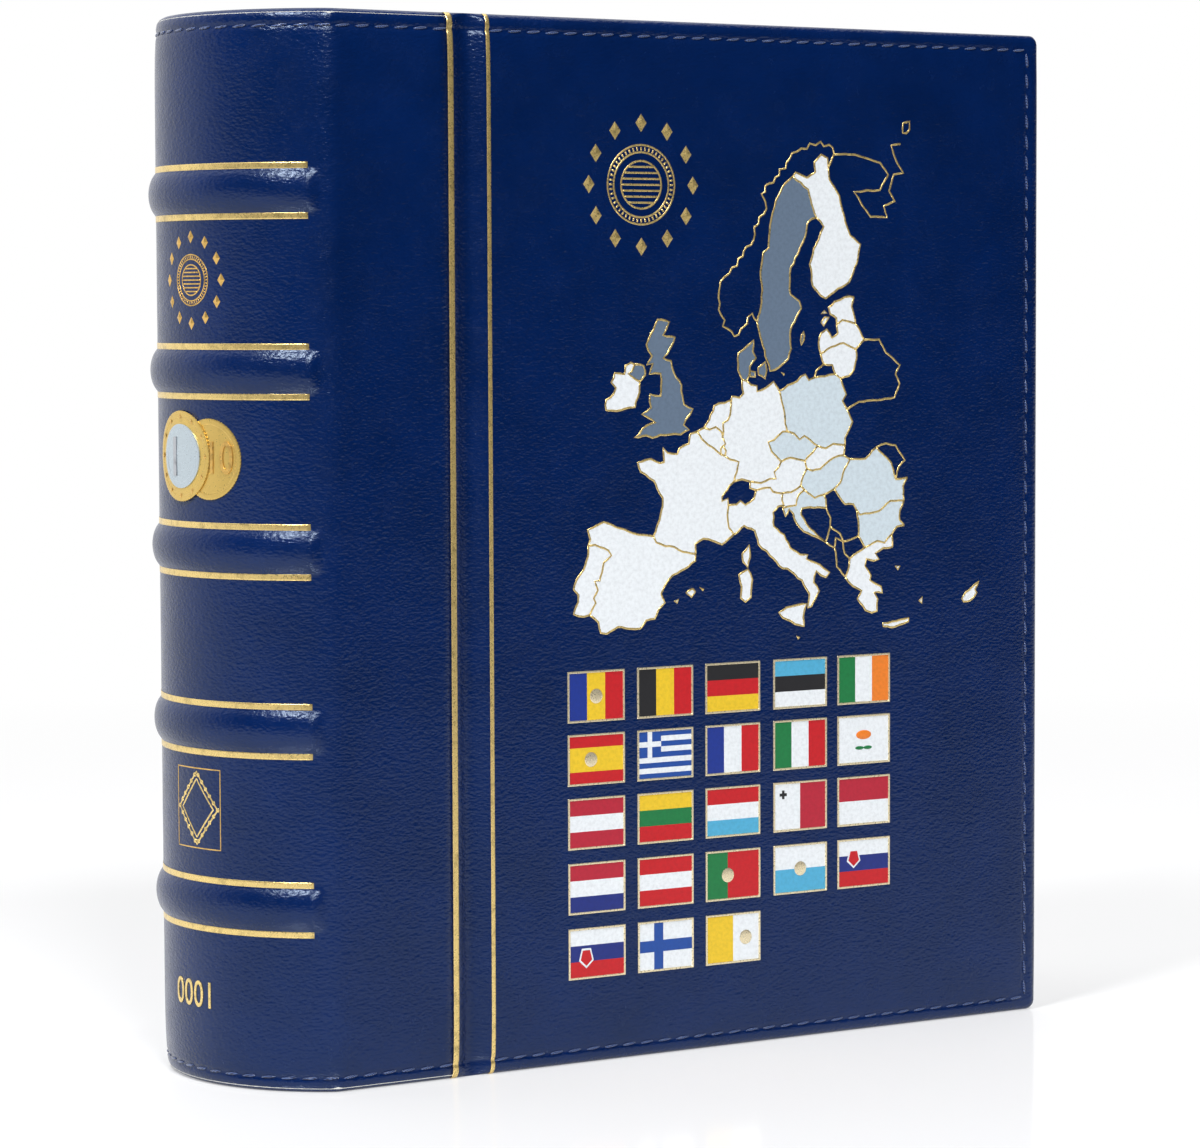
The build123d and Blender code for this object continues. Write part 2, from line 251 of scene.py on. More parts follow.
def fibrous(name, dark, light, scale, roughness, stretch=(1, 1, 1)):
    """Board, paper, foam or lining: a dull base with fibres or cells in it."""
    material, shader = new_material(name)
    place = add(material, "ShaderNodeMapping", {"Vector": object_place(material), "Scale": stretch})
    fibres = noise(material, place.outputs["Vector"], scale, 6.0, 0.7)
    tone = ramp(material, fibres.outputs["Fac"], [(0.3, dark), (0.7, light)])
    link(material, tone, shader.inputs["Base Color"])
    shader.inputs["Roughness"].default_value = roughness
    link(material, bump(material, fibres.outputs["Fac"], 0.4, 0.15 * MM), shader.inputs["Normal"])
    return material


def plated(name, colour, roughness, brushed=1.0):
    """Nickel-plated steel, with faint lengthwise drawing marks."""
    material, shader = new_material(name)
    place = add(material, "ShaderNodeMapping", {"Vector": object_place(material), "Scale": (1, 1, 0.05)})
    marks = noise(material, place.outputs["Vector"], 2600.0, 3.0, 0.6)
    cloud = noise(material, object_place(material), 90.0, 3.0, 0.5)
    darker = tuple(c * 0.82 for c in colour)
    tone = ramp(material, cloud.outputs["Fac"], [(0.35, darker), (0.65, colour)])
    link(material, tone, shader.inputs["Base Color"])
    shader.inputs["Metallic"].default_value = 1.0
    level = add(
        material,
        "ShaderNodeMapRange",
        {"Value": marks.outputs["Fac"], "To Min": roughness * 0.7, "To Max": roughness * 1.4},
    )
    link(material, level.outputs["Result"], shader.inputs["Roughness"])
    link(material, bump(material, marks.outputs["Fac"], 0.15 * brushed, 0.02 * MM), shader.inputs["Normal"])
    return material


def tray_plastic():
    """Dark blue moulded vinyl with a fine spark-eroded texture."""
    material, shader = new_material("tray_vinyl")
    place = object_place(material)
    spark = noise(material, place, 2200.0, 3.0, 0.6)
    cloud = noise(material, place, 30.0, 3.0, 0.5)
    stops = [(0.35, (0.012, 0.022, 0.06)), (0.65, (0.018, 0.032, 0.085))]
    tone = ramp(material, cloud.outputs["Fac"], stops)
    link(material, tone, shader.inputs["Base Color"])
    shader.inputs["Roughness"].default_value = 0.48
    link(material, bump(material, spark.outputs["Fac"], 0.3, 0.05 * MM), shader.inputs["Normal"])
    return material


def clear_film():
    """Clear stiff film, very slightly wavy."""
    material, shader = new_material("clear_window_film")
    place = object_place(material)
    wave = noise(material, place, 40.0, 2.0, 0.5)
    smudge = noise(material, place, 120.0, 4.0, 0.6)
    shader.inputs["Base Color"].default_value = (0.93, 0.96, 0.98, 1)
    shader.inputs["Alpha"].default_value = 0.15
    level = add(
        material,
        "ShaderNodeMapRange",
        {"Value": smudge.outputs["Fac"], "To Min": 0.04, "To Max": 0.14},
    )
    link(material, level.outputs["Result"], shader.inputs["Roughness"])
    link(material, bump(material, wave.outputs["Fac"], 0.2, 0.3 * MM), shader.inputs["Normal"])
    return material


NAVY = leatherette("navy_leatherette", (0.0002, 0.0098, 0.063), (0.0005, 0.0132, 0.086), (0.20, 0.29))
LINING = leatherette("endpaper_lining", (0.004, 0.010, 0.036), (0.007, 0.016, 0.052), (0.5, 0.62), 0.7)
GOLD = foil("gold_foil", (0.87, 0.65, 0.25), 0.28)
GOLD_DEEP = foil("gold_foil_deep", (0.80, 0.50, 0.14), 0.30, 0.02)
SILVER = foil("silver_foil", (0.54, 0.62, 0.67), 0.3, -0.10, 0.88)
THREAD = thread_material()
GOLD_PALE = foil("gold_foil_pale", (0.90, 0.78, 0.52), 0.28, -0.08, 0.85)
COIN_GOLD = foil("coin_gold", (0.72, 0.50, 0.14), 0.30, -0.06, 0.75)
SILVER_DARK = foil("silver_foil_dark", (0.50, 0.52, 0.55), 0.35)
MAP_INKS = {
    "white": ink("map_white_ink", (0.86, 0.90, 0.93)),
    "pale": ink("map_pale_ink", (0.64, 0.74, 0.80)),
    "grey": ink("map_grey_ink", (0.135, 0.19, 0.27)),
}
FLAG_INKS = {
    "white": ink("flag_white_ink", (0.84, 0.88, 0.91)),
    "red": ink("flag_red_ink", (0.56, 0.006, 0.012)),
    "crimson": ink("flag_crimson_ink", (0.47, 0.012, 0.035)),
    "yellow": ink("flag_yellow_ink", (0.84, 0.56, 0.02)),
    "green": ink("flag_green_ink", (0.006, 0.19, 0.05)),
    "blue": ink("flag_blue_ink", (0.006, 0.03, 0.27)),
    "navy": ink("flag_navy_ink", (0.008, 0.022, 0.20)),
    "azure": ink("flag_azure_ink", (0.01, 0.07, 0.34)),
    "sky": ink("flag_sky_ink", (0.08, 0.42, 0.66)),
    "black": ink("flag_black_ink", (0.012, 0.012, 0.014)),
    "orange": ink("flag_orange_ink", (0.85, 0.22, 0.02)),
}
FOAM = fibrous("padding_foam", (0.62, 0.62, 0.58), (0.78, 0.78, 0.74), 900.0, 0.9)
GREYBOARD = fibrous("greyboard", (0.26, 0.24, 0.21), (0.42, 0.39, 0.35), 500.0, 0.85, (1, 1, 3))
CARD = fibrous("backing_card", (0.70, 0.69, 0.64), (0.84, 0.83, 0.79), 1200.0, 0.75)
NICKEL = plated("nickel_plate", (0.72, 0.73, 0.76), 0.22)
RING_STEEL = plated("ring_wire_plate", (0.80, 0.81, 0.84), 0.12, 0.4)
TRAY = tray_plastic()
FILM = clear_film()


# =====================================================================================================
# pieces in general
# =====================================================================================================


def finish_mesh(bm, name, material, smooth=True):
    """Turns a bmesh into an object at the origin."""
    mesh = bpy.data.meshes.new(name)
    bm.to_mesh(mesh)
    bm.free()
    piece = bpy.data.objects.new(name, mesh)
    bpy.context.scene.collection.objects.link(piece)
    mesh.materials.append(material)
    for polygon in mesh.polygons:
        polygon.use_smooth = smooth
    return piece


def sheet_mesh(columns, rows, place):
    """A grid of len(columns) by len(rows) points, each put where place(column, row) says."""
    bm = bmesh.new()
    bmesh.ops.create_grid(bm, x_segments=len(columns) - 1, y_segments=len(rows) - 1, size=1)
    for vert in bm.verts:
        i = round((vert.co.x + 1) / 2 * (len(columns) - 1))
        j = round((vert.co.y + 1) / 2 * (len(rows) - 1))
        vert.co = place(columns[i], rows[j])
    bmesh.ops.remove_doubles(bm, verts=bm.verts, dist=1e-6)
    return bm


def thicken(bm, thickness, outwards):
    """Gives an open sheet its wall. outwards(centre) says which way the face at that centre looks."""
    face = max(bm.faces, key=lambda f: f.calc_area())
    if face.normal.dot(outwards(face.calc_center_median())) < 0:
        bmesh.ops.reverse_faces(bm, faces=bm.faces)
    bm.normal_update()
    bmesh.ops.solidify(bm, geom=bm.faces[:], thickness=thickness)
    bmesh.ops.recalc_face_normals(bm, faces=bm.faces)


def spread(low, high, step):
    """Evenly spaced values from low to high, no further apart than step."""
    count = max(1, math.ceil((high - low) / step - 1e-9))
    return [low + (high - low) * i / count for i in range(count + 1)]


def stations(edges, steps):
    """Values that run through edges, with each stretch divided by its own step."""
    values = [edges[0]]
    for low, high, step in zip(edges, edges[1:], steps):
        values += spread(low, high, step)[1:]
    return values


# =====================================================================================================
# the covering's surface
# =====================================================================================================


def bell(distance, width):
    return math.exp(-((distance / width) ** 2))


def edge_relief(distance, hem):
    """How far the face is pressed in, at a distance from an edge that has its stitching at hem."""
    padding = HEM_DROP * math.exp(-max(0.0, distance - hem) / PAD_RISE)
    return padding + CHANNEL * bell(distance - hem, CHANNEL_WIDTH)


def height_relief(z):
    return edge_relief(z, HEM["bottom"]) + edge_relief(HEIGHT - z, HEM["top"])


def groove_share(x):
    """0 on the boards and 1 in the middle of the hinge groove."""
    u = (x - GROOVE_MID) / GROOVE_HALF
    return math.cos(u * math.pi / 2) ** 1.3 if abs(u) < 1 else 0.0


RIM_STEPS = 7  # facets round a turned edge


def rim_angles():
    return [math.pi * i / RIM_STEPS for i in range(1, RIM_STEPS + 1)]


def height_rows(levels, steps):
    """Rows up the height: (z, 0) on the face, and (z, angle) round the turned edges, less than 0 below."""
    low, high = RIM, HEIGHT - RIM
    rows = [(low, -a) for a in reversed(rim_angles())]
    rows += [(z, 0.0) for z in stations([low, *levels, high], steps)]
    rows += [(high, a) for a in rim_angles()]
    return rows


def cover_point(column, row, side, lift=0.0):
    """A point on a cover's covering. side is -1 at the front and 1 at the back."""
    (x, a), (z, b) = column, row
    share = groove_share(x)
    thick = WALL * (1 - share) + WEB_THICKNESS * share
    radius = thick / 2
    sunk = GROOVE_DEPTH * share
    turn = max(abs(a), abs(b))
    reach = radius * math.sin(turn) + lift * math.sin(turn)
    depth = radius * (1 - math.cos(turn)) - lift * math.cos(turn)
    if turn:
        length = math.hypot(a, b)
        x += a / length * reach
        z += b / length * reach
    face = max(0.0, math.cos(turn))
    relief = min(height_relief(z) + edge_relief(FORE_X - x, HEM["fore"]), 1.6 * HEM_DROP)
    ends = (RIM - radius) * (1 if row[0] < HEIGHT / 2 else -1)
    near = 1 if abs(b) or row[0] <= RIM or row[0] >= HEIGHT - RIM else 0
    z -= ends * near
    return Vector((x, side * (FACE - sunk - depth - relief * face), z))


def spine_path(s):
    """The spine's outer line in plan and its normal, s round it from the middle towards the front."""
    sign = 1 if s >= 0 else -1
    s = abs(s)
    dy = FACE - CORNER_R
    dx = math.sqrt((SPINE_R - CORNER_R) ** 2 - dy**2)
    arc_end = math.atan2(dy, dx)
    first = SPINE_R * arc_end
    second = first + CORNER_R * (math.pi / 2 - arc_end)
    if s < first:
        angle = s / SPINE_R
        point = (ARC_X - SPINE_R * math.cos(angle), SPINE_R * math.sin(angle))
    elif s < second:
        angle = arc_end + (s - first) / CORNER_R
        point = (ARC_X - dx - CORNER_R * math.cos(angle), dy + CORNER_R * math.sin(angle))
    else:
        angle = math.pi / 2
        point = (ARC_X - dx + s - second, FACE)
    normal = Vector((-math.cos(angle), -sign * math.sin(angle), 0))
    return Vector((point[0], -sign * point[1], 0)), normal


ON_STRIP = 100 * MM  # a distance round the spine that is well past its corner, on the flat strip
SPINE_S = ON_STRIP + SEAM_X - spine_path(ON_STRIP)[0].x  # from the spine's middle to the seam


def band_rise(s, z):
    """How far a raised band lifts the covering: round across the band, and fading out at its ends."""
    near = min(abs(z - band) for band in BAND_Z)
    if near >= BAND_HALF:
        return 0.0
    fade = min(1.0, max(0.0, 1 - (abs(s) - BAND_END) / BAND_FADE))
    profile = (1 - (near / BAND_HALF) ** 2) ** 0.7
    return BAND_RISE * profile * fade * fade * (3 - 2 * fade)


def spine_point(s, row, lift=0.0):
    z, b = row
    point, normal = spine_path(s)
    turn = abs(b)
    depth = RIM * (1 - math.cos(turn)) - lift * math.cos(turn)
    face = max(0.0, math.cos(turn))
    relief = (height_relief(z) - band_rise(s, z)) * face
    if turn:
        z += math.copysign(RIM + lift, b) * math.sin(turn)
    return point - normal * (depth + relief) + UP * z


def wall_rows():
    """Rows for the covers: close together at the stitching, wide on the plain face."""
    fine = 0.45 * MM
    low_hem, high_hem = HEM["bottom"], HEIGHT - HEM["top"]
    levels = [low_hem + 1.6 * MM, 26 * MM, HEIGHT - 26 * MM, high_hem - 1.6 * MM]
    return height_rows(levels, [fine, 3 * MM, 9 * MM, 3 * MM, fine])


def spine_rows():
    fine = 0.45 * MM
    levels = [HEM["bottom"] + 1.6 * MM]
    steps = [fine]
    for band in BAND_Z:
        levels += [band - BAND_HALF * 1.3, band + BAND_HALF * 1.3]
        steps += [4.5 * MM, 0.7 * MM]
    levels.append(HEIGHT - HEM["top"] - 1.6 * MM)
    steps += [4.5 * MM, fine]
    return height_rows(levels, steps)


def cover_columns():
    fine = 0.45 * MM
    flat_end = FORE_X - RIM
    hem_start = FORE_X - HEM["fore"] - 1.6 * MM
    edges = [SEAM_X, COVER_X + 1 * MM, COVER_X + 6 * MM, FORE_X - 26 * MM, hem_start, flat_end]
    flats = [(x, 0.0) for x in stations(edges, [0.5 * MM, 2 * MM, 9 * MM, 3 * MM, fine])]
    return flats + [(flat_end, a) for a in rim_angles()]


def face_outwards(side):
    """For a flat sheet on the front or back: always straight out of that side."""

    def outwards(_centre):
        return Vector((0, side, 0))

    return outwards


def away_from_arc(centre):
    """For a sheet round the spine: out from the axis of its arc."""
    return centre - Vector((ARC_X, 0, centre.z))


def make_cover_covering(name, side):
    """One cover's leatherette, from the seam on the strip across the groove and round the board's edges."""
    bm = sheet_mesh(cover_columns(), wall_rows(), lambda c, r: cover_point(c, r, side))
    thicken(bm, LEATHER, face_outwards(side))
    piece = finish_mesh(bm, f"{name}_covering", NAVY)
    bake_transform(piece)
    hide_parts(f"{name}_skin", f"{name}_hinge_web")


def make_spine_covering():
    """The leatherette of the spine and its strips, in one wrap from seam to seam over the raised bands."""
    turn_start, turn_end = 40 * MM, 56 * MM
    edges = [-SPINE_S, -turn_end, -turn_start, turn_start, turn_end, SPINE_S]
    columns = stations(edges, [4 * MM, 0.8 * MM, 1.6 * MM, 0.8 * MM, 4 * MM])
    bm = sheet_mesh(columns, spine_rows(), spine_point)
    thicken(bm, LEATHER, away_from_arc)
    piece = finish_mesh(bm, "spine_covering", NAVY)
    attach(piece, "spine_case")
    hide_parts("spine_skin")


# =====================================================================================================
# foil lines
# =====================================================================================================

FOIL_LIFT = 0.05 * MM
FOIL_THICKNESS = 0.05 * MM
FOIL_TOP = FOIL_LIFT + FOIL_THICKNESS


def ribbon(name, bm, outwards, body):
    """A gold line made from the sheet of its outer face."""
    thicken(bm, FOIL_THICKNESS, outwards)
    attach(finish_mesh(bm, name, GOLD), body)


def make_hinge_lines(name, side):
    """The two gold lines that run the whole height, each side of the hinge groove."""
    rows = [row for row in wall_rows() if abs(row[1]) < 2.2]
    for label, x, width, body in (
        ("strip", SEAM_X, 1.7 * MM, "spine_case"),
        ("cover", COVER_X + 0.75 * MM, 1.2 * MM, f"{name}_cover"),
    ):
        columns = [(v, 0.0) for v in spread(x - width / 2, x + width / 2, 0.45 * MM)]
        bm = sheet_mesh(columns, rows, lambda c, r: cover_point(c, r, side, FOIL_TOP))
        ribbon(f"{name}_{label}_gold_line", bm, face_outwards(side), body)


def make_band_lines():
    """Gold lines round the spine above and below each raised band."""
    columns = spread(-BAND_LINE_END, BAND_LINE_END, 1.6 * MM)
    for i, band in enumerate(BAND_Z, 1):
        for label, offset in (("lower", -BAND_LINE_OFFSET), ("upper", BAND_LINE_OFFSET)):
            middle = band + offset
            half = BAND_LINE_WIDTH / 2
            rows = [(z, 0.0) for z in spread(middle - half, middle + half, 0.37 * MM)]
            bm = sheet_mesh(columns, rows, lambda s, r: spine_point(s, r, FOIL_TOP))
            ribbon(f"band_{i}_{label}_gold_line", bm, away_from_arc, "spine_case")


# =====================================================================================================
# stitching
# =====================================================================================================

STITCH_PITCH = 5.8 * MM
STITCH_LENGTH = 4.1 * MM
STITCH_RADIUS = 0.38 * MM
STITCH_SLANT = math.radians(6)
STITCH_LIFT = 0.1 * MM


def add_stitch(bm, middle, along, outwards):
    """One stitch: a short thread that dips into the covering at both ends."""
    made = bmesh.ops.create_uvsphere(bm, u_segments=7, v_segments=6, radius=1)["verts"]
    across = outwards.cross(along).normalized()
    direction = (along * math.cos(STITCH_SLANT) + across * math.sin(STITCH_SLANT)).normalized()
    side = outwards.cross(direction).normalized()
    turn = Matrix((side, outwards, direction)).transposed().to_4x4()
    size = Matrix.Diagonal((STITCH_RADIUS, STITCH_RADIUS, STITCH_LENGTH / 2, 1))
    bmesh.ops.transform(bm, matrix=Matrix.Translation(middle) @ turn @ size, verts=made)


def stitch_run(bm, length, place):
    """Stitches along a line. place(d) gives a point on the surface and the way out of it."""
    count = round(length / STITCH_PITCH)
    pitch = length / count
    for i in range(count):
        middle, outwards = place((i + 0.5) * pitch)
        ahead, _ = place((i + 0.5) * pitch + 0.1 * MM)
        add_stitch(bm, middle + outwards * STITCH_LIFT, (ahead - middle).normalized(), outwards)


def make_cover_stitching(name, side):
    """One line of stitches along a cover's bottom, fore and top edges."""
    out = Vector((0, side, 0))
    low, high = HEM["bottom"], HEIGHT - HEM["top"]
    start, fore = COVER_X + 0.5 * MM, FORE_X - HEM["fore"]
    bm = bmesh.new()
    stitch_run(bm, fore - start, lambda d: (cover_point((start + d, 0), (low, 0), side), out))
    stitch_run(bm, high - low, lambda d: (cover_point((fore, 0), (low + d, 0), side), out))
    stitch_run(bm, fore - start, lambda d: (cover_point((fore - d, 0), (high, 0), side), out))
    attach(finish_mesh(bm, f"{name}_stitching", THREAD), f"{name}_cover")


def stitch_place(s, z):
    return spine_point(s, (z, 0)), spine_path(s)[1]


def make_spine_stitching():
    """A line of stitches round the spine at its head and foot, from seam to seam."""
    bm = bmesh.new()
    for z in (HEM["bottom"], HEIGHT - HEM["top"]):
        stitch_run(bm, 2 * SPINE_S, lambda d: stitch_place(d - SPINE_S, z))
    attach(finish_mesh(bm, "spine_stitching", THREAD), "spine_case")


# =====================================================================================================
# print and foil on the front
# =====================================================================================================

PRINT_X = SEAM_X  # places on the front are measured from the first gold line
PRINT_LIFT = 0.02 * MM
PRINT_THICKNESS = 0.06 * MM
OUTLINE_RADIUS = 0.30 * MM
OUTLINE_FLATTEN = 0.35


def curve_mesh(curve, name):
    """The mesh of a curve or text, with its doubles merged, so that shapes that touch stay apart."""
    maker = bpy.data.objects.new(name, curve)
    bpy.context.scene.collection.objects.link(maker)
    graph = bpy.context.evaluated_depsgraph_get()
    mesh = bpy.data.meshes.new_from_object(maker.evaluated_get(graph))
    bpy.data.objects.remove(maker)
    bm = bmesh.new()
    bm.from_mesh(mesh)
    bmesh.ops.remove_doubles(bm, verts=bm.verts, dist=1e-6)
    bmesh.ops.recalc_face_normals(bm, faces=bm.faces)
    bm.to_mesh(mesh)
    bm.free()
    return mesh


def mesh_from_curve(curve, name):
    """The same as a bmesh."""
    mesh = curve_mesh(curve, name)
    bm = bmesh.new()
    bm.from_mesh(mesh)
    bpy.data.meshes.remove(mesh)
    return bm


def flat_shapes(outlines, name, thickness=PRINT_THICKNESS):
    """Closed outlines in the XY plane, filled and given a thickness."""
    whole = bmesh.new()
    for points in outlines:
        curve = bpy.data.curves.new(name, "CURVE")
        curve.dimensions = "2D"
        curve.fill_mode = "BOTH"
        curve.extrude = thickness / 2
        add_spline(curve, points, closed=True)
        mesh = curve_mesh(curve, name)
        whole.from_mesh(mesh)
        bpy.data.meshes.remove(mesh)
    return whole


def foil_cords(lines, name, radius=OUTLINE_RADIUS):
    """Lines of foil in the XY plane: (points, closed), each a low rounded ridge."""
    curve = bpy.data.curves.new(name, "CURVE")
    curve.dimensions = "3D"
    curve.bevel_depth = radius
    curve.bevel_resolution = 1
    curve.use_fill_caps = True
    for points, closed in lines:
        add_spline(curve, points, closed)
    bm = mesh_from_curve(curve, name)
    bmesh.ops.scale(bm, vec=(1, 1, OUTLINE_FLATTEN), verts=bm.verts)
    return bm


def add_spline(curve, points, closed):
    spline = curve.splines.new("POLY")
    spline.points.add(len(points) - 1)
    for slot, (x, y) in zip(spline.points, points):
        slot.co = (x, y, 0, 1)
    spline.use_cyclic_u = closed


def on_front(bm, lift=PRINT_LIFT):
    """Stands a flat shape up on the front: X stays, Y becomes the height and Z comes out of the face."""
    for vert in bm.verts:
        x, z, out = vert.co
        base = cover_point((PRINT_X + x, 0.0), (z, 0.0), side=-1)
        vert.co = base - Vector((0, out + lift, 0))
    return bm


def on_spine(bm, lift=PRINT_LIFT):
    """Wraps a flat shape round the spine: X runs round it towards the front and Z comes out of it."""
    for vert in bm.verts:
        s, z, out = vert.co
        _, normal = spine_path(s)
        vert.co = spine_point(s, (z, 0.0)) + normal * (out + lift)
    return bm


def front_piece(bm, name, material, lift=PRINT_LIFT, smooth=False):
    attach(finish_mesh(on_front(bm, lift), name, material, smooth), "front_cover")


def spine_piece(bm, name, material, lift=PRINT_LIFT, smooth=False):
    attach(finish_mesh(on_spine(bm, lift), name, material, smooth), "spine_case")


def ring_points(radius, count, centre=(0, 0), dent=0.0):
    """A circle of points. dent draws every second one inwards, for a milled edge."""
    points = []
    for i in range(count):
        angle = 2 * math.pi * i / count
        reach = radius - dent * (i % 2)
        points.append((centre[0] + reach * math.cos(angle), centre[1] + reach * math.sin(angle)))
    return points


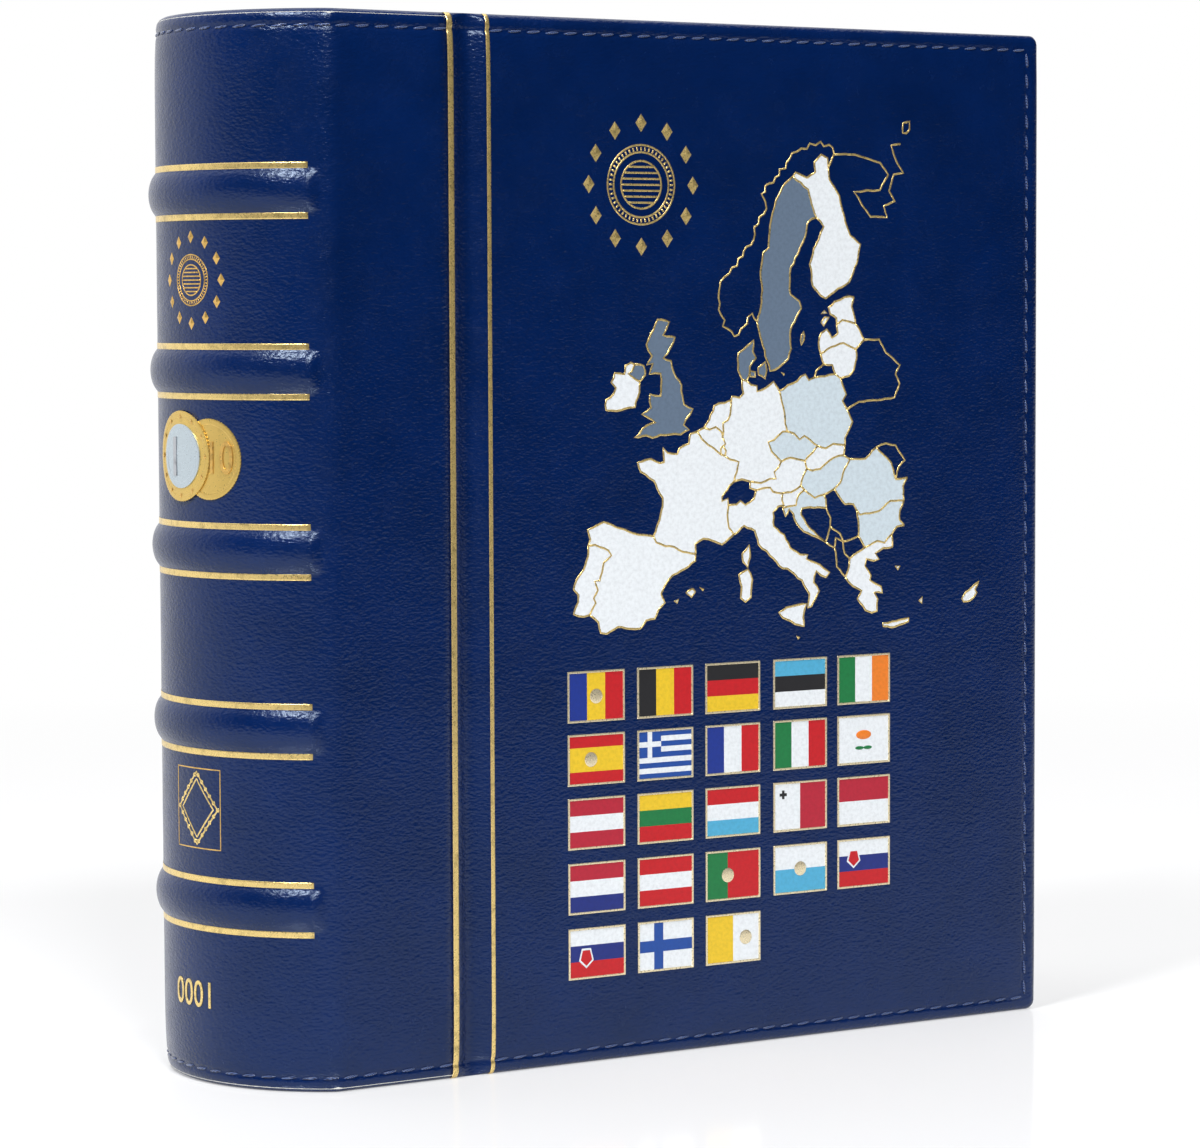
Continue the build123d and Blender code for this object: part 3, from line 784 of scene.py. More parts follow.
# --- the map ---
# Coasts and borders as (longitude, latitude) of their turning points; neighbours share their border.
BORDERS = {
    "pt_es": "-8.9,41.9 -8.2,42.1 -6.6,41.9 -6.2,41.6 -6.9,41 -6.9,40.3 -7,39.7 -7.5,39.6 -7,39 "
    "-7.3,38.4 -7,38.1 -7.4,37.2",
    "pt_coast": "-8.9,41.9 -8.7,41.2 -8.9,40.2 -9.4,39.4 -9.5,38.7 -8.9,38.4 -8.8,37.9 -9,37 -7.9,37 "
    "-7.4,37.2",
    "es_south": "-7.4,37.2 -6.4,36.8 -6,36.1 -5.4,36.1 -4.4,36.7 -3.1,36.7 -2.1,36.8 -1.6,37.4 "
    "-.7,37.6 -.4,38.3 .2,38.8 -.3,39.4 .1,40.1 .8,40.8 2.1,41.3 3.2,41.9 3.2,42.4",
    "es_north": "-8.9,41.9 -8.8,42.4 -9.3,43 -8.3,43.5 -7.7,43.8 -5.8,43.6 -4,43.4 -3,43.4 -1.8,43.4",
    "fr_es": "-1.8,43.4 -1.4,43 -.3,42.8 .7,42.8 1.7,42.5 3.2,42.4",
    "fr_west": "-1.8,43.4 -1.3,44.6 -1.1,45.6 -1.2,46.2 -2,46.8 -2.5,47.3 -4.3,47.8 -4.8,48.4 "
    "-3.2,48.8 -2,48.6 -1.5,48.7 -1.8,49.7 -1.2,49.4 .1,49.4 .3,49.8 1.5,50.2 1.6,50.9 2.5,51.1",
    "fr_be": "2.5,51.1 3.2,50.6 4.1,50.2 4.8,50 5.8,49.55",
    "be_lu": "5.8,49.55 5.8,50 6.1,50.15",
    "fr_lu": "5.8,49.55 6.35,49.45",
    "lu_de": "6.35,49.45 6.5,49.8 6.1,50.15",
    "fr_de": "6.35,49.45 7,49.2 8.2,49 7.6,47.6",
    "fr_ch": "7.6,47.6 7,47.3 6.1,46.5 6.1,46.2 6.8,46.4 6.9,45.9",
    "fr_it": "6.9,45.9 6.8,45.2 7,44.3 7.6,43.8",
    "fr_med": "3.2,42.4 3.1,43.1 4,43.5 5.2,43.35 6.2,43.1 7,43.5 7.6,43.8",
    "be_coast": "2.5,51.1 3.4,51.4",
    "be_nl": "3.4,51.4 4.2,51.3 5,51.5 5.9,51.1 6,50.75",
    "be_de": "6,50.75 6.4,50.3 6.1,50.15",
    "nl_coast": "3.4,51.4 3.6,51.6 4.1,52 4.7,53 5.4,53.2 6.9,53.4 7.1,53.25",
    "nl_de": "7.1,53.25 7,52.4 6.7,52 6,51.8 6.1,51.2 6,50.75",
    "de_north": "7.1,53.25 7.2,53.7 8.3,53.6 8.9,53.9 8.7,54.4 8.7,54.9",
    "de_dk": "8.7,54.9 9.4,54.8",
    "de_baltic": "9.4,54.8 10,54.5 10.9,54.4 10.9,54 12.2,54.2 13.4,54.6 14.2,53.9",
    "de_pl": "14.2,53.9 14.4,53.2 14.7,52.4 14.7,51.5 14.9,50.9",
    "de_cz": "14.9,50.9 14.3,50.95 13,50.4 12.2,50.3 12.6,49.6 13.8,48.8",
    "de_at": "13.8,48.8 13.4,48.4 12.8,48.1 13,47.6 12.2,47.65 11,47.4 9.7,47.55",
    "de_ch": "9.7,47.55 8.6,47.75 7.6,47.6",
    "at_ch": "9.7,47.55 9.6,47.1 10.4,46.9",
    "ch_it": "10.4,46.9 10.1,46.3 9,45.9 8.4,46.2 7.9,45.95 6.9,45.9",
    "at_it": "10.4,46.9 11.2,47 12.2,47 12.5,46.7 13.7,46.5",
    "at_si": "13.7,46.5 14.8,46.5 16.1,46.85",
    "at_hu": "16.1,46.85 16.5,47.5 17.1,48",
    "at_sk": "17.1,48 16.95,48.6",
    "at_cz": "16.95,48.6 16,48.8 15,49 13.8,48.8",
    "cz_pl": "14.9,50.9 15.8,50.7 16.5,50.2 17.2,50.4 18,50 18.85,49.5",
    "cz_sk": "18.85,49.5 18.1,49.1 17.4,48.85 16.95,48.6",
    "sk_pl": "18.85,49.5 19.9,49.2 21,49.4 22.55,49.1",
    "sk_ua": "22.55,49.1 22.15,48.4",
    "sk_hu": "22.15,48.4 20.8,48.4 19.8,48.15 18.8,47.8 17.8,47.8 17.1,48",
    "hu_ua": "22.15,48.4 22.9,48",
    "hu_ro": "22.9,48 22,47.4 21.2,46.5 20.3,46.15",
    "hu_rs": "20.3,46.15 18.9,45.9",
    "hu_hr": "18.9,45.9 17.7,45.8 16.55,46.5",
    "hu_si": "16.55,46.5 16.1,46.85",
    "si_hr": "16.55,46.5 15.7,46.2 15.3,45.5 14.5,45.5 13.6,45.45",
    "si_coast": "13.6,45.45 13.8,45.6",
    "si_it": "13.8,45.6 13.6,46 13.7,46.5",
    "hr_coast": "13.6,45.45 13.9,44.8 14.4,45.3 14.9,44.9 15.2,44.2 16,43.5 17.3,43 18.45,42.45",
    "hr_ba": "18.45,42.45 17.6,43 16.4,44 15.8,44.8 16,45.2 17,45.2 19,44.9",
    "hr_rs": "19,44.9 19.1,45.5 18.9,45.9",
    "it_coast": "7.6,43.8 8.8,44.4 10.1,44 10.5,43 11.8,42.1 12.8,41.3 14.1,40.8 15.3,40 16,38.9 "
    "15.7,37.95 16.1,38 16.6,38.5 17.1,39 16.6,39.7 17,40.5 18,39.9 18.5,40.2 17.5,40.9 16,41.5 "
    "16.2,41.8 15.3,41.9 14.2,42.5 13.6,43.5 12.4,44.2 12.4,45.2 13.1,45.6 13.8,45.6",
    "ro_ua": "22.9,48 24.9,47.7 26.6,48.25",
    "ro_md": "26.6,48.25 27.3,47.6 28.1,46.8 28.2,45.5",
    "ro_delta": "28.2,45.5 29.7,45.3",
    "ro_coast": "29.7,45.3 28.9,44.8 28.7,44.2 28.6,43.75",
    "ro_bg": "28.6,43.75 27,44.1 25.4,43.65 23,43.8 22.7,44.2",
    "ro_rs": "22.7,44.2 22.4,44.7 21.4,44.85 20.8,45.5 20.3,46.15",
    "bg_coast": "28.6,43.75 27.9,43.2 27.6,42.5 28,42",
    "bg_tr": "28,42 27.1,42.1 26.35,41.7",
    "bg_gr": "26.35,41.7 25.3,41.25 24.5,41.55 22.95,41.35",
    "bg_mk": "22.95,41.35 22.4,42.3",
    "bg_rs": "22.4,42.3 22.6,42.9 22.7,43.4 22.7,44.2",
    "gr_tr": "26.35,41.7 26.1,40.75",
    "gr_coast": "26.1,40.75 25,40.9 24,40.7 24.3,40.2 23.7,40.2 22.9,40.5 22.6,40 23.1,39.2 "
    "22.9,38.9 24,38.2 24,37.7 23.1,37.9 23.4,37.4 23.1,36.5 22.5,36.5 21.9,36.8 21.2,37.8 21.8,38.3 "
    "20.9,38.8 20.2,39.6",
    "gr_al": "20.2,39.6 20.8,40.3 21,40.85",
    "gr_mk": "21,40.85 22,41.15 22.95,41.35",
    "al_coast": "20.2,39.6 19.4,40.5 19.5,41.5 19.4,41.9",
    "me_coast": "19.4,41.9 18.45,42.45",
    "al_east": "19.4,41.9 19.7,42.6 20.5,42.2 20.5,41.3 21,40.85",
    "ba_rs": "19,44.9 19.4,44.1 19.2,43.5 18.45,42.45",
    "mk_rs": "20.5,42.2 21.4,42.2 22.4,42.3",
    "me_rs": "19.2,43.5 20.3,42.8 20.5,42.2",
    "pl_coast": "14.2,53.9 16.2,54.3 18.3,54.8 18.7,54.35 19.6,54.45",
    "pl_kgd": "19.6,54.45 22.8,54.35",
    "pl_lt": "22.8,54.35 23.5,53.95",
    "pl_by": "23.5,53.95 23.9,52.7 23.2,52.3 23.6,51.6",
    "pl_ua": "23.6,51.6 24.1,50.6 22.7,49.6 22.55,49.1",
    "kgd_lt": "22.8,54.35 22.6,55.05 21.3,55.25",
    "kgd_coast": "19.6,54.45 20,54.9 21.3,55.25",
    "lt_coast": "21.3,55.25 21.05,56.05",
    "lt_lv": "21.05,56.05 22.9,56.35 24.9,56.4 26.6,55.7",
    "lt_by": "26.6,55.7 26.5,55.1 25.7,54.3 24.8,53.95 23.5,53.95",
    "lv_coast": "21.05,56.05 21,56.9 21.6,57.5 22.6,57.7 23.2,57 24.3,57.2 24.35,57.85",
    "lv_ee": "24.35,57.85 25.4,58.05 27.4,57.5",
    "lv_ru": "27.4,57.5 27.9,56.8 28.2,56.15",
    "lv_by": "28.2,56.15 26.6,55.7",
    "ee_coast": "24.35,57.85 24.5,58.3 23.6,58.7 23.5,59.2 24.7,59.5 26.5,59.6 28.1,59.4",
    "ee_ru": "28.1,59.4 27.4,58.8 27.4,57.5",
    "by_ru": "28.2,56.15 30.5,55.8 31,54.7 32.6,53.4 31.6,52.9 31.8,52.1",
    "by_ua": "31.8,52.1 30.6,51.3 28,51.6 25.5,51.9 23.6,51.6",
    "md_ua": "26.6,48.25 28,48.3 29.2,47.9 29.9,46.6 28.95,46.3 28.2,45.5",
    "fi_coast": "24.15,65.8 25.3,65 22.6,63.6 21.4,62.6 21.4,61 22.5,60.2 23.3,59.9 25,60.2 "
    "27.8,60.55",
    "fi_ru": "27.8,60.55 30,61.7 31.5,62.9 30,63.8 29.7,64.8 29.8,66.8 28.5,68.2 28.9,69.05",
    "fi_no": "28.9,69.05 29.2,69.7 27.9,70.1 26,69.7 25.8,69 23.7,68.75 21.3,69.3 20.6,69.06",
    "fi_se": "20.6,69.06 23.5,67.9 23.7,66.8 24.15,65.8",
    "se_coast": "24.15,65.8 22.3,65.6 21.3,64.6 19.5,63.5 17.8,62.6 17.3,61.3 17.3,60.7 18.7,60.1 "
    "18.9,59.6 17.5,58.7 16.7,58.2 16.5,56.8 15.9,56.1 14.4,55.6 13,55.4 12.6,56.2 11.9,57.6 11.3,59",
    "se_no": "11.3,59 12,60 12.4,61.2 12.2,62.5 12.9,63.9 14,64.2 14.6,65.8 16.2,67.5 18.1,68.5 "
    "20.6,69.06",
    "no_coast": "11.3,59 10.5,59.6 9.6,58.9 7.5,58 5.6,58.7 5,60.3 5,61.9 7,62.9 9,63.7 10.6,64.5 "
    "12.3,66 14,67.5 13.2,68.1 15,68.8 17.5,69.3 19.5,70.1 23.5,70.9 25.8,71.1 28.5,71 31,70.3 "
    "30.9,69.8",
    "no_ru": "30.9,69.8 28.9,69.05",
    "kola": "30.9,69.8 35.5,69.2 40.3,67.8 41,66.7 38.3,66 33,66.7 34.8,64.5 37.9,63.9 38,64.8 "
    "40.4,64.7 40,65.6 42.1,66.5 44.1,66.2 43.7,67.2 44,68.5 46,68.2",
    "ni_coast": "-6.2,54.05 -5.6,54.6 -6,55.2 -7.3,55.15",
    "ni_ie": "-7.3,55.15 -7.6,54.6 -8,54.4 -7.2,54.2 -6.2,54.05",
    "ie_coast": "-6.2,54.05 -6,53.3 -6.3,52.2 -8,51.8 -10,51.5 -10.3,52.2 -9.5,52.7 -9.3,53.2 "
    "-10.1,53.5 -9.9,54.2 -8.5,54.3 -8.6,54.9 -7.9,55.2 -7.3,55.15",
    "dk_coast": "8.7,54.9 8.1,55.6 8.2,56.8 9.6,57.3 10.6,57.7 10.4,56.9 10.9,56.4 9.9,55.8 9.8,55.2 "
    "9.4,54.8",
}
ISLANDS = {
    "sicily": "12.5,37.9 13.4,38.2 15.6,38.25 15.1,37.3 15.1,36.65 14.2,36.9 12.9,37.5",
    "sardinia": "8.2,40.9 9.2,41.25 9.7,40.5 9.5,39.2 8.9,38.9 8.4,39.2 8.5,40",
    "corsica": "8.6,42.4 9.4,43 9.5,42.1 9.2,41.4 8.7,41.8",
    "mallorca": "2.4,39.6 3.1,39.9 3.4,39.7 3,39.3",
    "ibiza": "1.2,38.95 1.6,39.1 1.5,38.85",
    "menorca": "3.85,40 4.3,39.9 4.2,39.8",
    "crete": "23.5,35.5 24.5,35.4 26.3,35.25 26.2,35 24.7,34.95 23.5,35.25",
    "rhodes": "27.8,36.2 28.2,36.4 28,35.95",
    "lesbos": "26,39.3 26.5,39.2 26.2,39",
    "malta": "14.3,36 14.55,35.9 14.4,35.8",
    "cyprus": "32.3,35.05 32.9,35.35 34.6,35.7 33.9,35.2 34,34.95 33,34.6 32.4,34.75",
    "saaremaa": "21.9,58.3 22.6,58.6 23.3,58.5 22.2,58",
    "hiiumaa": "22.2,58.9 22.7,59.05 23,58.85",
    "gotland": "18.2,57.3 18.8,57.9 18.7,57.3 18.2,56.95",
    "britain": "-5.7,50.1 -4.2,50.4 -3.4,50.3 -2.4,50.6 -1.2,50.7 .3,50.8 1.4,51.2 .6,51.5 1.7,52.7 "
    ".4,52.95 .1,53.5 -.2,54.3 -1.5,55.1 -2.1,55.9 -3.3,56 -2.1,57.2 -1.9,57.6 -3.8,57.6 -3.1,58.6 "
    "-5,58.6 -5.7,57.5 -6.1,56.7 -5,56 -5.6,55.3 -4.7,55.5 -5,54.7 -3.4,54.9 -3.1,54 -3,53.3 "
    "-4.5,53.3 -4.4,52.8 -4.1,52.4 -5.2,51.8 -3.2,51.4 -4.3,51.1",
    "funen": "9.9,55.5 10.7,55.4 10.7,55.05 10,55.1",
    "zealand": "11.2,55.7 12.3,56.1 12.5,55.5 12.1,54.9 11.2,55.2",
    "bornholm": "14.7,55.2 15.1,55.1 15,55",
    "novaya": "47.5,68.8 48.5,69.4 50,69.2 49.2,68.7 48.2,68.6",
}
# Each country is its borders in order round it; a minus sign walks one backwards.
COUNTRIES = {
    "white": [
        "pt_es -pt_coast",
        "es_north fr_es -es_south -pt_es",
        "fr_west fr_be fr_lu fr_de fr_ch fr_it -fr_med -fr_es",
        "be_coast be_nl be_de -be_lu -fr_be",
        "be_lu -lu_de -fr_lu",
        "nl_coast nl_de -be_nl",
        "de_north de_dk de_baltic de_pl de_cz de_at de_ch -fr_de lu_de -be_de -nl_de",
        "de_at at_ch at_it at_si at_hu at_sk at_cz",
        "it_coast si_it -at_it ch_it fr_it",
        "at_si -hu_si si_hr si_coast si_it",
        "at_sk -cz_sk sk_pl sk_ua sk_hu",
        "gr_tr gr_coast gr_al gr_mk -bg_gr",
        "lt_coast lt_lv lt_by -pl_lt kgd_lt",
        "lv_coast lv_ee lv_ru lv_by -lt_lv",
        "ee_coast ee_ru -lv_ee",
        "fi_coast fi_ru fi_no fi_se",
        "ie_coast ni_ie",
    ],
    "pale": [
        "de_cz -at_cz -cz_sk -cz_pl",
        "pl_coast pl_kgd pl_lt pl_by pl_ua -sk_pl -cz_pl -de_pl",
        "at_hu -sk_hu hu_ua hu_ro hu_rs hu_hr hu_si",
        "hr_coast hr_ba hr_rs hu_hr si_hr",
        "ro_ua ro_md ro_delta ro_coast ro_bg ro_rs -hu_ro",
        "bg_coast bg_tr bg_gr bg_mk bg_rs -ro_bg",
    ],
    "grey": ["-fi_se -se_no -se_coast", "ni_coast ni_ie", "dk_coast -de_dk"],
}
GREY_ISLANDS = ("gotland", "britain", "funen", "zealand", "bornholm")
OUTLINE_ISLANDS = ("novaya",)

MAP_PARALLEL = math.radians(51.08)  # standard parallel of the equidistant conic projection
MAP_MERIDIAN = 11.98
MAP_TURN = math.radians(2.92)
MAP_SCALE = 218.19 * MM  # millimetres on the cover for one radian of latitude
MAP_SQUEEZE = 0.9976
MAP_SHIFT = (108.69 * MM, -25.13 * MM)  # from the first gold line and the base
COAST_WANDER = 0.09  # how far a coast wanders from its straight stretches
BORDER_WANDER = 0.05
FJORD_WANDER = 0.30
WANDER_STEP = 1.5 * MM


def on_map(longitude, latitude):
    """A place on the cover, measured from the first gold line and the base."""
    cone = math.sin(MAP_PARALLEL)
    reach = math.cos(MAP_PARALLEL) / cone + MAP_PARALLEL
    angle = cone * math.radians(longitude - MAP_MERIDIAN)
    distance = reach - math.radians(latitude)
    east = distance * math.sin(angle)
    north = reach - distance * math.cos(angle)
    x = MAP_SQUEEZE * (math.cos(MAP_TURN) * east - math.sin(MAP_TURN) * north)
    z = math.sin(MAP_TURN) * east + math.cos(MAP_TURN) * north
    return Vector((MAP_SCALE * x + MAP_SHIFT[0], MAP_SCALE * z + MAP_SHIFT[1]))


def read_line(text, wander, closed=False):
    """A line of the map, with each long stretch broken up to three times by small seeded wanders."""
    places = [on_map(*(float(v) for v in pair.split(","))) for pair in text.split()]
    if closed:
        places.append(places[0])
    rolls = random.Random(text)
    line = [places[0]]
    for start, end in zip(places, places[1:]):
        span = end - start
        sideways = Vector((-span.y, span.x))
        count = min(4, max(1, round(span.length / WANDER_STEP)))
        for i in range(1, count):
            aside = sideways * rolls.uniform(-wander, wander) * 2 / count
            line.append(start + span * i / count + aside)
        line.append(end)
    return line[:-1] if closed else line


def make_map():
    """The continent: filled countries with a foil line along every coast and border."""
    wander = {name: COAST_WANDER for name in BORDERS if "coast" in name}
    wander["no_coast"] = FJORD_WANDER
    coasts = {name: read_line(text, wander.get(name, BORDER_WANDER)) for name, text in BORDERS.items()}
    islands = {name: read_line(text, COAST_WANDER, closed=True) for name, text in ISLANDS.items()}
    fills = {tone: [] for tone in COUNTRIES}
    for tone, countries in COUNTRIES.items():
        for country in countries:
            outline = []
            for name in country.split():
                line = coasts[name.lstrip("-")]
                outline += (line[::-1] if name[0] == "-" else line)[:-1]
            fills[tone].append(outline)
    for name, outline in islands.items():
        if name in GREY_ISLANDS:
            fills["grey"].append(outline)
        elif name not in OUTLINE_ISLANDS:
            fills["white"].append(outline)
    for tone, outlines in fills.items():
        front_piece(flat_shapes(outlines, tone), f"map_{tone}_countries", MAP_INKS[tone])
    lines = [(line, False) for line in coasts.values()] + [(line, True) for line in islands.values()]
    lift = PRINT_LIFT + PRINT_THICKNESS / 2
    front_piece(foil_cords(lines, "map_lines"), "map_foil_lines", GOLD, lift, smooth=True)


# --- the flags ---
FLAG_SIZE = (17.2 * MM, 13.0 * MM)
FLAG_FRAME = 0.8 * MM
FLAG_FRAME_DEPTH = 0.28 * MM
FLAG_COLUMNS = [35 * MM, 57 * MM, 79 * MM, 101.4 * MM, 123 * MM]  # left edges, from the first gold line
FLAG_ROWS = [105.8 * MM, 88.8 * MM, 71.6 * MM, 54.1 * MM, 36.5 * MM]  # upper edges
# Each flag: | for upright stripes or - for level ones, then colour:width. A second word adds a device.
FLAGS = [
    [
        "| blue:1 yellow:1 red:1 @disc",
        "| black:1 yellow:1 red:1",
        "- black:1 red:1 yellow:1",
        "- sky:1 black:1 white:1",
        "| green:1 white:1 orange:1",
    ],
    [
        "- red:1 yellow:2 red:1 @disc_left",
        "- azure:1 white:1 azure:1 white:1 azure:1 white:1 azure:1 white:1 azure:1 @canton",
        "| blue:1 white:1 red:1",
        "| green:1 white:1 red:1",
        "| white:1 @isle",
    ],
    [
        "- crimson:1 white:1 crimson:1",
        "- yellow:1 green:1 red:1",
        "- red:1 white:1 sky:1",
        "| white:1 crimson:1 @small_cross",
        "- crimson:1 white:1",
    ],
    [
        "- crimson:1 white:1 navy:1",
        "- red:1 white:1 red:1",
        "| green:2 red:3 @disc_left",
        "- white:1 sky:1 @disc",
        "- white:1 navy:1 red:1 @shield_high",
    ],
    [
        "- white:1 navy:1 red:1 @shield",
        "| white:1 @nordic",
        "| yellow:1 white:1 @disc_right",
    ],
]


def flag_box(bm, left, bottom, width, height, depth=PRINT_THICKNESS):
    """A flat stripe of print."""
    middle = Matrix.Translation((left + width / 2, bottom + height / 2, 0))
    bmesh.ops.create_cube(bm, size=1, matrix=middle @ Matrix.Diagonal((width, height, depth, 1)))


def add_stripes(inks, design, left, base):
    """One flag's stripes, upright ones from the left or level ones from the top."""
    width, height = FLAG_SIZE
    direction, *words = design.split()
    stripes = [word.split(":") for word in words if ":" in word]
    total = sum(float(share) for _, share in stripes)
    done = 0.0
    for colour, share in stripes:
        part = float(share) / total
        if direction == "|":
            flag_box(inks[colour], left + width * done, base, width * part, height)
        else:
            flag_box(inks[colour], left, base + height * (1 - done - part), width, height * part)
        done += part


def raise_frames(frames):
    """Turns flat rectangles into thin bevelled frames that stand on z = 0."""
    rims = set(bmesh.ops.inset_individual(frames, faces=frames.faces[:], thickness=FLAG_FRAME)["faces"])
    bmesh.ops.delete(frames, geom=[f for f in frames.faces if f not in rims], context="FACES")
    bmesh.ops.solidify(frames, geom=frames.faces[:], thickness=FLAG_FRAME_DEPTH)
    bmesh.ops.recalc_face_normals(frames, faces=frames.faces)
    bmesh.ops.translate(frames, vec=(0, 0, -min(v.co.z for v in frames.verts)), verts=frames.verts)
    top = max(v.co.z for v in frames.verts) - 1e-6
    edges = [e for e in frames.edges if min(v.co.z for v in e.verts) > top]
    worn = FLAG_FRAME_DEPTH / 2
    bmesh.ops.bevel(frames, geom=edges, offset=worn, segments=2, profile=0.5, material=-1, affect="EDGES")


def make_flags():
    """Rows of printed flags, each in a thin bevelled foil frame."""
    inks = {name: bmesh.new() for name in FLAG_INKS}
    frames = bmesh.new()
    devices = []
    width, height = FLAG_SIZE
    outer = Matrix.Diagonal((width + FLAG_FRAME, height + FLAG_FRAME, 1, 1))
    for top, row in zip(FLAG_ROWS, FLAGS):
        for left, design in zip(FLAG_COLUMNS, row):
            base = top - height
            add_stripes(inks, design, left, base)
            if "@" in design:
                devices.append((design.split("@")[1], left, base))
            middle = Matrix.Translation((left + width / 2, base + height / 2, 0))
            bmesh.ops.create_grid(frames, x_segments=1, y_segments=1, size=0.5, matrix=middle @ outer)
    raise_frames(frames)
    front_piece(frames, "flag_frames", GOLD_PALE)
    second = {name: bmesh.new() for name in FLAG_INKS}
    medals = bmesh.new()
    for device, left, base in devices:
        add_device(device, left, base, second, medals)
    for name, bm in inks.items():
        front_piece(bm, f"flag_{name}", FLAG_INKS[name], PRINT_LIFT + 0.03 * MM)
    for name, bm in second.items():
        if bm.verts:
            front_piece(bm, f"flag_device_{name}", FLAG_INKS[name], PRINT_LIFT + 0.08 * MM)
    front_piece(medals, "flag_medallions", GOLD_PALE, PRINT_LIFT + 0.12 * MM)


def add_device(device, left, base, inks, medals):
    """The small plain device on some flags: a cross, a canton, a shield, an isle or a blank medallion."""
    width, height = FLAG_SIZE
    if device == "nordic":
        flag_box(inks["azure"], left, base + height * 0.38, width, height * 0.24)
        flag_box(inks["azure"], left + width * 0.28, base, width * 0.17, height, 1.3 * PRINT_THICKNESS)
    elif device == "canton":
        size = height * 5 / 9
        bar = size * 0.2
        low = base + height - size
        flag_box(inks["azure"], left, low, size, size, 0.8 * PRINT_THICKNESS)
        flag_box(inks["white"], left, low + 2 * bar, size, bar, 1.4 * PRINT_THICKNESS)
        flag_box(inks["white"], left + 2 * bar, low, bar, size, 1.8 * PRINT_THICKNESS)
    elif device.startswith("shield"):
        high = 0.62 if device == "shield_high" else 0.42
        centre = (left + width * 0.30, base + height * high)
        add_shield(inks["white"], centre, 2.7 * MM)
        add_shield(inks["red"], centre, 2.1 * MM, 2 * PRINT_THICKNESS)
    elif device == "isle":
        add_blob(inks["orange"], (left + width * 0.5, base + height * 0.6), 2.6 * MM, 0.5)
        add_blob(inks["green"], (left + width * 0.42, base + height * 0.32), 1.5 * MM, 0.35)
        add_blob(inks["green"], (left + width * 0.58, base + height * 0.32), 1.5 * MM, 0.35)
    elif device == "small_cross":
        long, wide = 2.4 * MM, 0.8 * MM
        x = left + width * 0.10
        flag_box(inks["black"], x, base + height * 0.73, long, wide)
        flag_box(inks["black"], x + wide, base + height * 0.67, wide, long, 1.3 * PRINT_THICKNESS)
    else:
        share = {"disc": 0.5, "disc_left": 0.4, "disc_right": 0.74}[device]
        add_blob(medals, (left + width * share, base + height * 0.5), 2.0 * MM, 1.0)


def add_blob(bm, centre, radius, squash):
    """A low dome, for a medallion or an isle."""
    made = bmesh.ops.create_uvsphere(bm, u_segments=16, v_segments=6, radius=radius)["verts"]
    bmesh.ops.scale(bm, vec=(1, squash, 0.08), verts=made)
    bmesh.ops.translate(bm, vec=(*centre, 0), verts=made)


def add_shield(bm, centre, half_width, depth=PRINT_THICKNESS):
    """A small blank shield: a five-sided block that points down."""
    size = Matrix.Diagonal((half_width * 0.9, half_width * 1.1, depth, 1))
    turn = Matrix.Translation((*centre, depth / 2)) @ size @ Matrix.Rotation(math.pi, 4, "Z")
    bmesh.ops.create_cone(bm, cap_ends=True, segments=5, radius1=1, radius2=1, depth=1, matrix=turn)


# --- the emblem and the coins ---
EMBLEM_CENTRE = (58.5 * MM, 236 * MM)
EMBLEM_RING = 16.5 * MM
EMBLEM_COIN = 10.6 * MM
EMBLEM_LINE = 0.27 * MM
MARKS = 12
MILLING_TICKS = 48
RULINGS = 3  # ruled lines each side of the coin's middle
MOTIF_S = 8.5 * MM  # the spine's motifs stand this far towards the front from its middle


def coin_mesh(radius, relief=0.35 * MM, milling=0.16 * MM, segments=144):
    """A blank coin: a milled edge, a raised rim and a slightly domed field."""
    bm = flat_shapes([ring_points(radius, segments, dent=milling)], "coin", relief)
    flats = [f for f in bm.faces if f.normal.z > 0.9]
    bmesh.ops.dissolve_faces(bm, faces=flats)
    top = max((f for f in bm.faces if f.normal.z > 0.9), key=lambda f: f.calc_area())
    steps = [
        (0.35 * MM, 0.05 * MM),
        (0.9 * MM, 0.0),
        (0.35 * MM, -0.14 * MM),
        (radius * 0.25, 0.0),
        (radius * 0.3, 0.05 * MM),
    ]
    for inwards, rise in steps:
        bmesh.ops.inset_region(bm, faces=[top], thickness=inwards, depth=rise, use_even_offset=False)
    return bm


def ring_of_lozenges(centre, radius, long_side, height):
    """Twelve small pyramids with four sides, standing upright round a circle."""
    bm = bmesh.new()
    for i in range(MARKS):
        angle = 2 * math.pi * i / MARKS
        made = bmesh.ops.create_cone(
            bm, cap_ends=True, segments=4, radius1=long_side / 2, radius2=long_side * 0.06, depth=height
        )["verts"]
        bmesh.ops.scale(bm, vec=(0.72, 1, 1), verts=made)
        place = (centre[0] + radius * math.sin(angle), centre[1] + radius * math.cos(angle), height / 2)
        bmesh.ops.translate(bm, vec=place, verts=made)
    return bm


def text_mesh(words, height, thickness):
    """Plain digits in the built-in face, standing on y = 0 and centred on x = 0."""
    curve = bpy.data.curves.new("digits", "FONT")
    curve.body = words
    curve.size = height * 1.42
    curve.align_x = "CENTER"
    curve.extrude = thickness / 2
    curve.bevel_depth = thickness / 4
    curve.space_character = 1.05
    return mesh_from_curve(curve, "digits")


def moved(bm, x, z, out=0.0):
    bmesh.ops.translate(bm, vec=(x, z, out), verts=bm.verts)
    return bm


